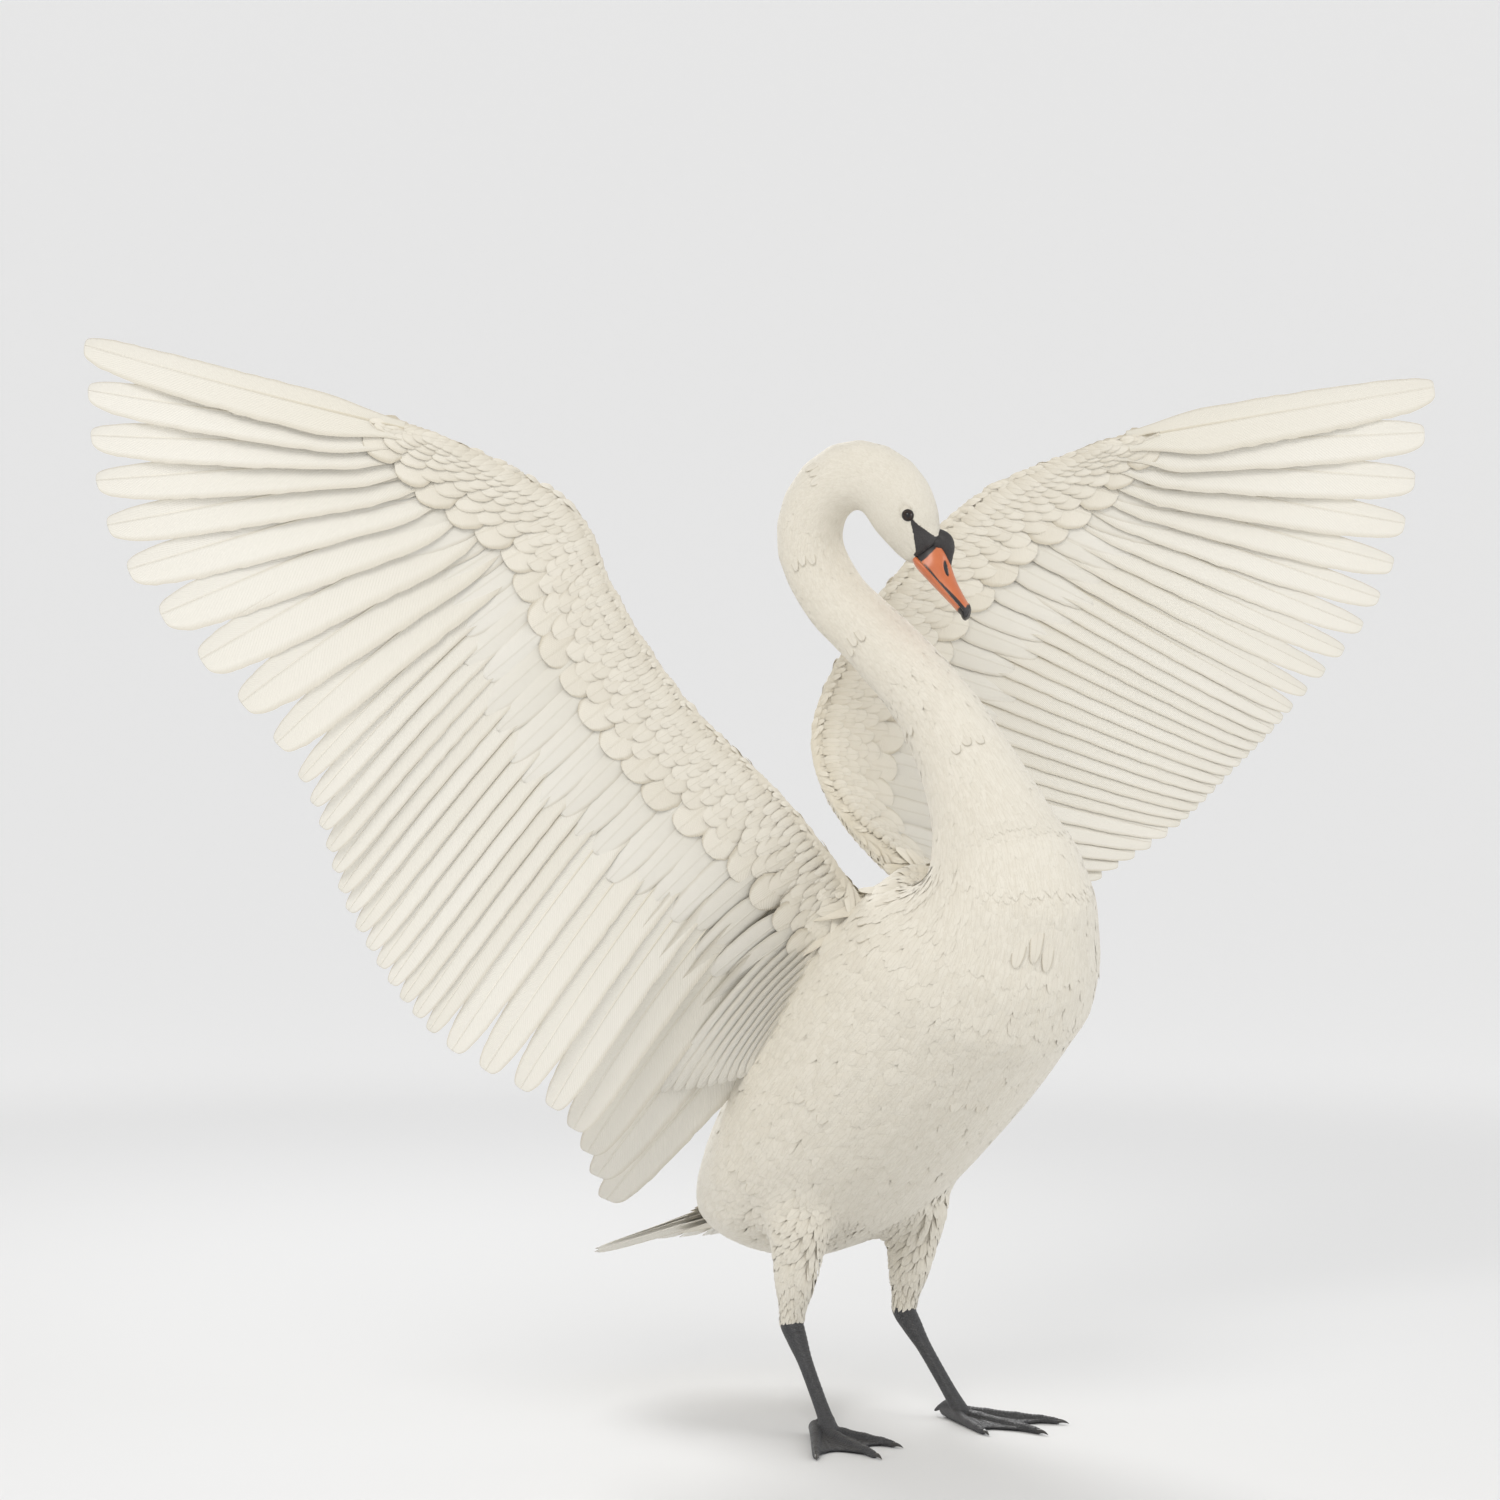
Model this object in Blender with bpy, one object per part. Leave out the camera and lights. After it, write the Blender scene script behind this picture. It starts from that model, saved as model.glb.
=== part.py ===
"""Mute swan (Cygnus olor), adult cob, life size, standing with both wings raised.

Metres, +Z up. The bird faces -Y, so its right wing is towards -X and its left wing towards +X.
The head, neck and trunk are one smooth envelope, cut into named lengths by flat gaps.
Each wing is one surface, from the leading edge back to the feather tips. Its front part is
thick, for bones, muscle and coverts, and its rear part is a fan of separate feather ends.
"""
import math

import bmesh
import bpy
import numpy as np
from mathutils import Matrix, Vector

# ---- Driving sizes ---------------------------------------------------------------------------
GAP = 0.0003                 # clearance between neighbouring pieces
TRUNK_PITCH = math.radians(42.0)
TRUNK_CENTRE = Vector((0.0, 0.0, 0.44))
BODY_SIDES = 24
NECK_SIDES = 18

BILL_LENGTH = 0.086
BILL_SIDES = 8
EYE_RADIUS = 0.0066
KNOB_SIZE = (0.0100, 0.0125, 0.0120)   # half width, half height, half length

FEATHER_THICKNESS = 0.0018
COVERT_SHARE = 0.42          # share of the wing's chord covered by flesh and coverts
PRIMARIES = 10
SECONDARIES = 14
TERTIALS = 8
TAIL_FEATHERS = 12

TARSUS_WIDTH = 0.0085
MIDDLE_TOE = 0.145
OUTER_TOE = 0.135
INNER_TOE = 0.112
WEB_THICKNESS = 0.0035
TOE_RADIUS = 0.0072

# ---- Colours: name, sRGB-like linear colour, roughness ---------------------------------------
FINISHES = {
    "plumage": ((0.80, 0.75, 0.66), 0.85),
    "flight_feathers": ((0.88, 0.85, 0.78), 0.70),
    "bill_orange": ((0.66, 0.20, 0.07), 0.45),
    "black_skin": ((0.02, 0.018, 0.018), 0.50),
    "eye": ((0.012, 0.008, 0.006), 0.10),
    "leg_skin": ((0.045, 0.045, 0.047), 0.60),
    "claw": ((0.02, 0.02, 0.02), 0.40),
}


def clear_scene():
    for item in list(bpy.data.objects):
        bpy.data.objects.remove(item, do_unlink=True)


def make_finishes():
    made = {}
    for name, (colour, roughness) in FINISHES.items():
        finish = bpy.data.materials.new(name)
        finish.use_nodes = True
        shader = finish.node_tree.nodes["Principled BSDF"]
        shader.inputs["Base Color"].default_value = (*colour, 1.0)
        shader.inputs["Roughness"].default_value = roughness
        shader.inputs["Metallic"].default_value = 0.0
        finish.diffuse_color = (*colour, 1.0)
        made[name] = finish
    return made


# ---- Smooth curves through keys --------------------------------------------------------------
def smooth(keys, values, at):
    """Cubic curve through the values, which stand at rising keys, read at one place."""
    keys = np.asarray(keys, float)
    values = np.asarray(values, float)
    slopes = np.gradient(values, keys, axis=0)
    place = min(max(at, keys[0]), keys[-1])
    i = int(min(np.searchsorted(keys, place, side="right") - 1, len(keys) - 2))
    span = keys[i + 1] - keys[i]
    q = (place - keys[i]) / span
    start = values[i] * (2 * q**3 - 3 * q**2 + 1) + slopes[i] * span * (q**3 - 2 * q**2 + q)
    end = values[i + 1] * (3 * q**2 - 2 * q**3) + slopes[i + 1] * span * (q**3 - q**2)
    return start + end


# ---- Mesh helpers ----------------------------------------------------------------------------
def add_object(name, mesh, finish, shaded_smooth=True):
    thing = bpy.data.objects.new(name, mesh)
    bpy.context.scene.collection.objects.link(thing)
    mesh.materials.append(FINISH[finish])
    if shaded_smooth:
        mesh.shade_smooth()
        mesh.set_sharp_from_angle(angle=math.radians(40))
    return thing


def closed_loft(name, rings, finish, shaded_smooth=True):
    """A closed body through rings of equal point count, with a flat cap at each end."""
    work = bmesh.new()
    rows = [[work.verts.new(point) for point in ring] for ring in rings]
    count = len(rows[0])
    for first, second in zip(rows, rows[1:]):
        for i in range(count):
            j = (i + 1) % count
            work.faces.new((first[i], first[j], second[j], second[i]))
    work.faces.new(rows[0][::-1])
    work.faces.new(rows[-1])
    bmesh.ops.recalc_face_normals(work, faces=work.faces)
    mesh = bpy.data.meshes.new(name)
    work.to_mesh(mesh)
    work.free()
    return add_object(name, mesh, finish, shaded_smooth)


def grown_copy(source, margin=GAP):
    """A cutter: the source's own shape, grown by the clearance."""
    mesh = source.data.copy()
    cutter = bpy.data.objects.new(source.name + "_cutter", mesh)
    bpy.context.scene.collection.objects.link(cutter)
    normals = [vertex.normal.copy() for vertex in mesh.vertices]
    for vertex, normal in zip(mesh.vertices, normals):
        vertex.co += normal * margin
    cutter.hide_render = True
    cutter.display_type = "WIRE"
    return cutter


def cut_away(thing, cutter):
    change = thing.modifiers.new("cut by " + cutter.name, "BOOLEAN")
    change.operation = "DIFFERENCE"
    change.solver = "EXACT"
    change.object = cutter


# ---- Head, neck and trunk --------------------------------------------------------------------
FORWARD = Vector((0.0, -math.cos(TRUNK_PITCH), math.sin(TRUNK_PITCH)))
DORSAL = Vector((0.0, math.sin(TRUNK_PITCH), math.cos(TRUNK_PITCH)))


def trunk_point(along, raised=0.0):
    return tuple(TRUNK_CENTRE + FORWARD * along + DORSAL * raised)


# Each station of the envelope: centre, half width, half depth on the back, half depth on the
# belly, and the direction of the bird's back there. Seven stations make the trunk, then the
# breast turns up into the neck, and the neck bends over into the head.
BACK = tuple(DORSAL)
NAPE_LOW = (0.0, 0.85, -0.35)
NAPE_HIGH = (-0.80, 0.59, 0.05)
CROWN_BACK = (-0.35, 0.10, 0.93)
CROWN = (0.40, -0.30, 0.87)
BROW = (0.609, -0.525, 0.58)
STATIONS = (
    (trunk_point(-0.390, 0.052), 0.040, 0.018, 0.022, BACK),
    (trunk_point(-0.350, 0.040), 0.088, 0.040, 0.054, BACK),
    (trunk_point(-0.270, 0.018), 0.134, 0.078, 0.104, BACK),
    (trunk_point(-0.150, 0.000), 0.163, 0.118, 0.130, BACK),
    (trunk_point(-0.020, 0.000), 0.168, 0.142, 0.145, BACK),
    (trunk_point(0.120, 0.000), 0.162, 0.135, 0.150, BACK),
    (trunk_point(0.215, 0.000), 0.145, 0.112, 0.138, (0.0, 0.88, 0.48)),
    ((0.0, -0.190, 0.632), 0.106, 0.086, 0.100, (0.0, 0.98, 0.10)),
    ((0.0, -0.172, 0.690), 0.077, 0.068, 0.070, NAPE_LOW),
    ((-0.006, -0.141, 0.752), 0.060, 0.056, 0.057, NAPE_LOW),
    ((-0.030, -0.101, 0.834), 0.047, 0.047, 0.047, NAPE_LOW),
    ((-0.065, -0.048, 0.903), 0.041, 0.042, 0.042, (-0.35, 0.85, -0.25)),
    ((-0.101, -0.002, 0.963), 0.039, 0.040, 0.040, NAPE_HIGH),
    ((-0.122, 0.008, 1.022), 0.038, 0.041, 0.039, NAPE_HIGH),
    ((-0.120, -0.018, 1.071), 0.036, 0.042, 0.037, (-0.62, 0.35, 0.70)),
    ((-0.104, -0.054, 1.087), 0.034, 0.046, 0.036, CROWN_BACK),
    ((-0.084, -0.081, 1.077), 0.034, 0.043, 0.038, CROWN),
    ((-0.068, -0.097, 1.046), 0.032, 0.040, 0.038, BROW),
    ((-0.057, -0.109, 1.018), 0.025, 0.029, 0.030, BROW),
    ((-0.050, -0.118, 1.004), 0.020, 0.021, 0.0245, BROW),
)
CENTRES = np.array([station[0] for station in STATIONS])
WIDTHS = np.array([station[1] for station in STATIONS])
BACKS = np.array([station[2] for station in STATIONS])
BELLIES = np.array([station[3] for station in STATIONS])
BACK_WAYS = np.array([station[4] for station in STATIONS])
STEPS = np.linalg.norm(np.diff(CENTRES, axis=0), axis=1)
REACH = np.concatenate(([0.0], np.cumsum(STEPS)))   # distance along the spine at each station


def spine_frame(along):
    """Centre, forward, back and left directions of the envelope at a distance along the spine."""
    centre = Vector(smooth(REACH, CENTRES, along))
    step = 0.002
    ahead = Vector(smooth(REACH, CENTRES, along + step))
    behind = Vector(smooth(REACH, CENTRES, along - step))
    forward = (ahead - behind).normalized()
    back = Vector(smooth(REACH, BACK_WAYS, along))
    back = (back - forward * back.dot(forward)).normalized()
    return centre, forward, back, back.cross(forward).normalized()


def body_ring(along, sides):
    centre, forward, back, left = spine_frame(along)
    width = smooth(REACH, WIDTHS, along)
    above = smooth(REACH, BACKS, along)
    below = smooth(REACH, BELLIES, along)
    ring = []
    for i in range(sides):
        angle = 2 * math.pi * i / sides
        depth = above if math.cos(angle) > 0 else below
        ring.append(centre + left * (width * math.sin(angle)) + back * (depth * math.cos(angle)))
    return ring


def body_length(name, start, end, count, sides):
    """One length of the envelope. Its far face stands back from the cut by the clearance."""
    rings = [body_ring(start + (end - start) * i / (count - 1), sides) for i in range(count)]
    forward = spine_frame(end)[1]
    rings[-1] = [point - forward * GAP for point in rings[-1]]
    return closed_loft(name, rings, "plumage")


NECK_START = REACH[7]
NECK_FIRST_CUT = REACH[9] + 0.03
NECK_SECOND_CUT = REACH[12] - 0.02
HEAD_START = REACH[15] - 0.012
HEAD_END = REACH[-1]


def make_body():
    trunk = body_length("trunk", REACH[0], NECK_START, 17, BODY_SIDES)
    body_length("neck_lower", NECK_START, NECK_FIRST_CUT, 6, BODY_SIDES)
    body_length("neck_middle", NECK_FIRST_CUT, NECK_SECOND_CUT, 5, NECK_SIDES)
    body_length("neck_upper", NECK_SECOND_CUT, HEAD_START, 8, NECK_SIDES)
    head = body_length("head", HEAD_START, HEAD_END, 9, NECK_SIDES)
    return trunk, head


# ---- Bill, knob and eyes ---------------------------------------------------------------------
# Along the bill: share of its length, half width, height above the gape line, depth below it.
BILL_STATIONS = (
    (0.00, 0.0182, 0.0310, 0.0110),
    (0.12, 0.0172, 0.0272, 0.0105),
    (0.30, 0.0158, 0.0208, 0.0092),
    (0.52, 0.0150, 0.0148, 0.0076),
    (0.74, 0.0160, 0.0108, 0.0060),
    (0.90, 0.0160, 0.0084, 0.0050),
    (0.97, 0.0125, 0.0062, 0.0038),
    (1.00, 0.0070, 0.0036, 0.0024),
)
GAPE_DROP = 0.0115           # the gape line below the middle of the face
KNOB_RISE = 0.0200           # the knob's centre above the middle of the face
KNOB_AHEAD = 0.0030
EYE_BEHIND = 0.0440          # the eye behind the edge of the face
EYE_RISE = 0.0030
EYE_SINK = 0.0040            # the eye's centre inside the cheek



def bill_half(name, upper, frame):
    base, forward, back, left = frame
    rings = []
    for share, width, height, depth in BILL_STATIONS:
        middle = base + forward * (share * BILL_LENGTH)
        tall = height if upper else -depth
        lift = GAP / 2 if upper else -GAP / 2
        ring = []
        for i in range(BILL_SIDES + 1):
            angle = math.pi * i / BILL_SIDES
            sideways = left * (width * math.cos(angle))
            ring.append(middle + sideways + back * (lift + tall * math.sin(angle)))
        rings.append(ring)
    return closed_loft(name, rings, "bill_orange")


def ball(name, centre, radii, frame, finish, segments=12, rows=8):
    forward, back, left = frame[1:]
    mesh = bpy.data.meshes.new(name)
    work = bmesh.new()
    bmesh.ops.create_uvsphere(work, u_segments=segments, v_segments=rows, radius=1.0)
    turn = Matrix((left, back, forward)).transposed()
    for vertex in work.verts:
        scaled = Vector((vertex.co.x * radii[0], vertex.co.y * radii[1], vertex.co.z * radii[2]))
        vertex.co = centre + turn @ scaled
    work.normal_update()
    work.to_mesh(mesh)
    work.free()
    return add_object(name, mesh, finish)


def make_face(head):
    base, forward, back, left = spine_frame(HEAD_END)
    gape = base - back * GAPE_DROP
    frame = (gape + forward * GAP, forward, back, left)
    upper = bill_half("bill_upper", True, frame)
    bill_half("bill_lower", False, frame)
    knob_centre = base + back * KNOB_RISE + forward * KNOB_AHEAD
    knob = ball("bill_knob", knob_centre, KNOB_SIZE, frame, "black_skin")
    cut_away(knob, grown_copy(head))
    cut_away(knob, grown_copy(upper))
    eye_along = HEAD_END - EYE_BEHIND
    centre, forward, back, left = spine_frame(eye_along)
    width = smooth(REACH, WIDTHS, eye_along)
    for side, label in ((1, "left"), (-1, "right")):
        place = centre + left * (side * (width - EYE_SINK)) + back * EYE_RISE
        radii = (EYE_RADIUS,) * 3
        eye = ball("eye_" + label, place, radii, (None, forward, back, left), "eye", 10, 6)
        cut_away(head, grown_copy(eye))


# ---- Wings -----------------------------------------------------------------------------------
# Both routes run outwards from the body through the same seven places: inside the shoulder,
# upper arm, elbow, forearm, wrist, middle of the hand and end of the hand.
RIGHT_WING = {
    "side": -1,
    "lead": (
        (-0.070, -0.070, 0.585),
        (-0.190, -0.055, 0.725),
        (-0.300, -0.022, 0.836),
        (-0.380, -0.008, 0.945),
        (-0.432, 0.000, 1.045),
        (-0.520, 0.008, 1.092),
        (-0.600, 0.026, 1.116),
    ),
    "tips": (
        (-0.225, 0.265, 0.240),
        (-0.400, 0.090, 0.375),
        (-0.560, 0.090, 0.470),
        (-0.660, 0.095, 0.600),
        (-0.745, 0.070, 0.765),
        (-0.930, 0.098, 0.985),
        (-0.972, 0.093, 1.212),
    ),
}
LEFT_WING = {
    "side": 1,
    "lead": (
        (0.058, -0.020, 0.600),
        (-0.012, 0.105, 0.708),
        (-0.022, 0.148, 0.815),
        (0.040, 0.122, 0.950),
        (0.130, 0.066, 1.072),
        (0.210, 0.024, 1.122),
        (0.290, -0.015, 1.150),
    ),
    "tips": (
        (0.270, 0.070, 0.590),
        (0.345, 0.030, 0.640),
        (0.425, 0.000, 0.690),
        (0.486, -0.042, 0.762),
        (0.545, -0.086, 0.840),
        (0.648, -0.134, 0.985),
        (0.700, -0.172, 1.250),
    ),
}
PLACES = np.arange(7.0)
ARM_THICKNESS = (0.040, 0.034, 0.026, 0.022, 0.019, 0.012, 0.005)
CAMBER = (0.010, 0.024, 0.030, 0.032, 0.034, 0.036, 0.020)
ELBOW = 2.0
WRIST = 4.0
HAND_END = 6.0


def wing_point(wing, out, chord):
    """A point on the wing's middle surface: out along the arm, chord from lead to tips."""
    lead = Vector(smooth(PLACES, wing["lead"], out))
    tips = Vector(smooth(PLACES, wing["tips"], out))
    rise = float(smooth(PLACES, CAMBER, out)) * 4 * chord * (1 - chord)
    return lead.lerp(tips, chord) + wing_back(wing, out) * rise


def wing_back(wing, out):
    """The direction of the wing's back surface at a place along the arm."""
    inner = max(out - 0.25, 0.0)
    outer = min(out + 0.25, HAND_END)
    middle = 0.5
    spread = Vector(smooth(PLACES, wing["lead"], outer)).lerp(
        Vector(smooth(PLACES, wing["tips"], outer)), middle)
    spread -= Vector(smooth(PLACES, wing["lead"], inner)).lerp(
        Vector(smooth(PLACES, wing["tips"], inner)), middle)
    lay = Vector(smooth(PLACES, wing["tips"], out)) - Vector(smooth(PLACES, wing["lead"], out))
    return (spread.cross(lay) * wing["side"]).normalized()


def arm_ring(wing, out, count=5):
    """A wing section from the rear of the coverts, over the leading edge and back below."""
    thickness = float(smooth(PLACES, ARM_THICKNESS, out))
    away = wing_back(wing, out)
    ring = []
    for i in range(-count, count + 1):
        share = (i / count) ** 2
        chord = share * COVERT_SHARE
        half = thickness * 2.6 * (math.sqrt(share) - share) * (1 - 0.45 * share)
        half += 0.0016 * min(1.0, 4 * abs(i) / count)
        side = 1 if i < 0 else -1
        ring.append(wing_point(wing, out, chord) + away * (half * side))
    return ring


def arm_length(name, wing, start, end, count):
    rings = [arm_ring(wing, start + (end - start) * i / (count - 1)) for i in range(count)]
    return closed_loft(name, rings, "plumage")


TIP_SHARES = (0.0, 0.45, 0.80)
TIP_ROUNDING = 2.4


def feather_fan(name, surface, edges, start, parting):
    """A thin fan of feathers that share their edges up to the parting and end in round tips.

    surface(out, chord) gives a point, edges holds the places between neighbouring feathers,
    and parting is the share of the chord where the feathers part.
    """
    work = bmesh.new()
    for inner, outer in zip(edges, edges[1:]):
        middle = (inner + outer) / 2
        half = (outer - inner) / 2
        rows = [(start, 1.0), ((start + parting) / 2, 1.0)]
        for share in TIP_SHARES:
            width = (1 - share**TIP_ROUNDING) ** (1 / TIP_ROUNDING)
            rows.append((parting + (1 - parting) * share, width))
        lines = []
        for chord, width in rows:
            places = (middle - half * width, middle, middle + half * width)
            lines.append([work.verts.new(surface(place, chord)) for place in places])
        for first, second in zip(lines, lines[1:]):
            work.faces.new((first[0], first[1], second[1], second[0]))
            work.faces.new((first[1], first[2], second[2], second[1]))
        tip = work.verts.new(surface(middle, 1.0))
        work.faces.new((lines[-1][0], lines[-1][1], tip))
        work.faces.new((lines[-1][1], lines[-1][2], tip))
    bmesh.ops.remove_doubles(work, verts=work.verts, dist=0.00001)
    bmesh.ops.recalc_face_normals(work, faces=work.faces)
    mesh = bpy.data.meshes.new(name)
    work.to_mesh(mesh)
    work.free()
    fan = add_object(name, mesh, "flight_feathers", shaded_smooth=False)
    body = fan.modifiers.new("vane thickness", "SOLIDIFY")
    body.thickness = FEATHER_THICKNESS
    body.offset = 0.0
    return fan


def even_edges(start, end, count):
    return [start + (end - start) * i / count for i in range(count + 1)]


def make_wing(label, wing, trunk_cutter):
    upper = arm_length("wing_%s_upper_arm" % label, wing, 0.0, ELBOW - 0.002, 9)
    arm_length("wing_%s_forearm" % label, wing, ELBOW + 0.002, WRIST - 0.002, 9)
    arm_length("wing_%s_hand" % label, wing, WRIST + 0.002, HAND_END, 11)
    cut_away(upper, trunk_cutter)

    def surface(out, chord):
        return wing_point(wing, out, chord)

    start = COVERT_SHARE + 0.0036
    fans = (
        ("tertials", 0.0, ELBOW - 0.004, TERTIALS, 0.88),
        ("secondaries", ELBOW + 0.004, WRIST - 0.004, SECONDARIES, 0.93),
        ("primaries", WRIST + 0.004, HAND_END, PRIMARIES, 0.84),
    )
    for kind, inner, outer, count, parting in fans:
        edges = even_edges(inner, outer, count)
        name = "wing_%s_%s" % (label, kind)
        fan = feather_fan(name, surface, edges, start, parting)
        if kind == "tertials":
            cut_away(fan, trunk_cutter)


# ---- Tail ------------------------------------------------------------------------------------
TAIL_ROOT = Vector(trunk_point(-0.330, 0.044))
TAIL_LENGTH = 0.250
TAIL_SPREAD = math.radians(34.0)
TAIL_DROP = math.radians(21.0)


def tail_point(out, chord):
    """Out runs from -1 at the right edge to 1 at the left edge."""
    angle = out * TAIL_SPREAD
    length = TAIL_LENGTH * (1 - 0.24 * out * out)
    reach = length * chord
    sideways = Vector((0.045 * out + math.sin(angle) * reach, 0.0, 0.0))
    rearwards = Vector((0.0, math.cos(TAIL_DROP), -math.sin(TAIL_DROP)))
    upwards = Vector((0.0, math.sin(TAIL_DROP), math.cos(TAIL_DROP)))
    arch = upwards * (-0.030 * out * out)
    return TAIL_ROOT + sideways + rearwards * (math.cos(angle) * reach) + arch


def make_tail(trunk_cutter):
    edges = even_edges(-1.0, 1.0, TAIL_FEATHERS)
    tail = feather_fan("tail", tail_point, edges, 0.02, 0.90)
    cut_away(tail, trunk_cutter)


# ---- Legs and feet ---------------------------------------------------------------------------
FOOT_SPREAD = 0.095
FOOT_HEEL_Y = 0.034
INSTEP = 0.027
ANKLE = Vector((0.082, 0.100, 0.118))
KNEE = Vector((0.086, 0.068, 0.310))
FOOT_TURN = math.radians(9.0)


def tube(name, keys, finish, sides=12, count=8):
    """A rounded limb through keys of (centre, half width, half depth)."""
    centres = np.array([tuple(key[0]) for key in keys])
    widths = np.array([key[1] for key in keys])
    depths = np.array([key[2] for key in keys])
    places = np.arange(float(len(keys)))
    rings = []
    for i in range(count):
        at = places[-1] * i / (count - 1)
        ahead = Vector(smooth(places, centres, at + 0.02))
        behind = Vector(smooth(places, centres, at - 0.02))
        forward = (ahead - behind).normalized()
        across = Vector((1.0, 0.0, 0.0))
        across = (across - forward * across.dot(forward)).normalized()
        front = across.cross(forward).normalized()
        middle = Vector(smooth(places, centres, at))
        width = float(smooth(places, widths, at))
        depth = float(smooth(places, depths, at))
        ring = []
        for j in range(sides):
            angle = 2 * math.pi * j / sides
            ring.append(middle + across * (width * math.cos(angle)) + front * (depth * math.sin(angle)))
        rings.append(ring)
    return closed_loft(name, rings, finish)


TOES = (
    (math.radians(-27.0), OUTER_TOE),
    (math.radians(0.0), MIDDLE_TOE),
    (math.radians(25.0), INNER_TOE),
)
WEB_MARGIN = math.radians(7.0)


def toe_reach(angle):
    """How far the foot runs from the heel at an angle: full at a toe, less across the web."""
    for (first, first_length), (second, second_length) in zip(TOES, TOES[1:]):
        if first <= angle <= second:
            share = (angle - first) / (second - first)
            straight = first_length + (second_length - first_length) * share
            return straight * (1 - 0.30 * math.sin(math.pi * share) ** 0.8)
    edge = TOES[0] if angle < TOES[0][0] else TOES[-1]
    beyond = abs(angle - edge[0]) / WEB_MARGIN
    return edge[1] * (1 - 0.55 * min(beyond, 1.0) ** 2)


def foot_height(angle, reach, limit):
    """Top of the foot above the sole: webs with a round ridge along each toe."""
    height = WEB_THICKNESS
    for toe_angle, length in TOES:
        aside = abs(math.sin(angle - toe_angle)) * reach
        radius = TOE_RADIUS * (1.25 - 0.55 * reach / length)
        if aside < radius:
            height = max(height, WEB_THICKNESS + radius * 1.1 * math.sqrt(1 - (aside / radius) ** 2))
    edge = min(1.0, (limit - reach) / 0.006 + 0.45)
    return height * edge


def foot_angles():
    first = TOES[0][0] - WEB_MARGIN
    last = TOES[-1][0] + WEB_MARGIN
    angles = {first, last}
    for toe_angle, _ in TOES:
        for aside in (-4.0, 0.0, 4.0):
            angles.add(toe_angle + math.radians(aside))
    for (left_toe, _), (right_toe, _) in zip(TOES, TOES[1:]):
        for share in (0.35, 0.65):
            angles.add(left_toe + (right_toe - left_toe) * share)
    return sorted(angles)


def foot_place(side, angle, reach, height):
    """Puts a point of the foot in the world; the outer toe is away from the body."""
    turned = side * (-angle + FOOT_TURN)
    heel = Vector((side * FOOT_SPREAD, FOOT_HEEL_Y, 0.0))
    return heel + Vector((math.sin(turned) * reach, -math.cos(turned) * reach, height))


def make_foot(label, side):
    angles = foot_angles()
    shares = (0.10, 0.30, 0.55, 0.80, 1.0)
    tops = []
    soles = []
    for angle in angles:
        limit = toe_reach(angle)
        tops.append([foot_place(side, angle, limit * s, foot_height(angle, limit * s, limit))
                     for s in shares])
        soles.append([foot_place(side, angle, limit * s, 0.0) for s in shares])
    rings = [top + sole[::-1] for top, sole in zip(tops, soles)]
    return closed_loft("foot_" + label, rings, "leg_skin")


def make_claws(label, side):
    for number, (angle, length) in enumerate(TOES, start=1):
        start = foot_place(side, angle, length + GAP, 0.0030)
        way = (foot_place(side, angle, length + 0.01, 0.0030) - start).normalized()
        keys = (
            (start, 0.0030, 0.0026),
            (start + way * 0.007 - Vector((0, 0, 0.0002)), 0.0024, 0.0022),
            (start + way * 0.013 - Vector((0, 0, 0.0014)), 0.0010, 0.0010),
        )
        tube("claw_%s_%d" % (label, number), keys, "claw", sides=8, count=4)


def make_leg(label, side, trunk_cutter, foot):
    ankle = Vector((side * ANKLE.x, ANKLE.y, ANKLE.z))
    knee = Vector((side * KNEE.x, KNEE.y, KNEE.z))
    sole = Vector((side * FOOT_SPREAD, FOOT_HEEL_Y - INSTEP, 0.0085))
    up = (knee - ankle).normalized()
    down = (sole - ankle).normalized()
    thigh_keys = (
        (ankle + up * 0.020, 0.0155, 0.0180),
        (ankle.lerp(knee, 0.30), 0.0260, 0.0320),
        (ankle.lerp(knee, 0.60), 0.0370, 0.0450),
        (knee, 0.0420, 0.0500),
    )
    thigh = tube("leg_%s_thigh" % label, thigh_keys, "plumage", sides=14, count=6)
    cut_away(thigh, trunk_cutter)
    tarsus_keys = (
        (ankle + up * (0.020 - GAP), 0.0125, 0.0145),
        (ankle, 0.0125, 0.0150),
        (ankle + down * 0.030, TARSUS_WIDTH, 0.0105),
        (ankle + down * 0.075, TARSUS_WIDTH, 0.0098),
        (sole, 0.0110, 0.0110),
    )
    tarsus = tube("leg_%s_tarsus" % label, tarsus_keys, "leg_skin", sides=10, count=8)
    cut_away(tarsus, grown_copy(foot, 3 * GAP))


# ---- Whole bird ------------------------------------------------------------------------------
def centre_on_floor():
    """Hangs every piece on one empty, moved so that the box's bottom centre is the origin."""
    low = np.full(3, np.inf)
    high = np.full(3, -np.inf)
    bpy.context.view_layer.update()
    depsgraph = bpy.context.evaluated_depsgraph_get()
    things = [item for item in bpy.context.scene.objects if item.type == "MESH"]
    for item in things:
        if item.hide_render:
            continue
        evaluated = item.evaluated_get(depsgraph)
        points = np.array([tuple(vertex.co) for vertex in evaluated.data.vertices])
        low = np.minimum(low, points.min(axis=0))
        high = np.maximum(high, points.max(axis=0))
    root = bpy.data.objects.new("swan", None)
    bpy.context.scene.collection.objects.link(root)
    root.location = (-(low[0] + high[0]) / 2, -(low[1] + high[1]) / 2, -low[2])
    for item in things:
        item.parent = root


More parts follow.
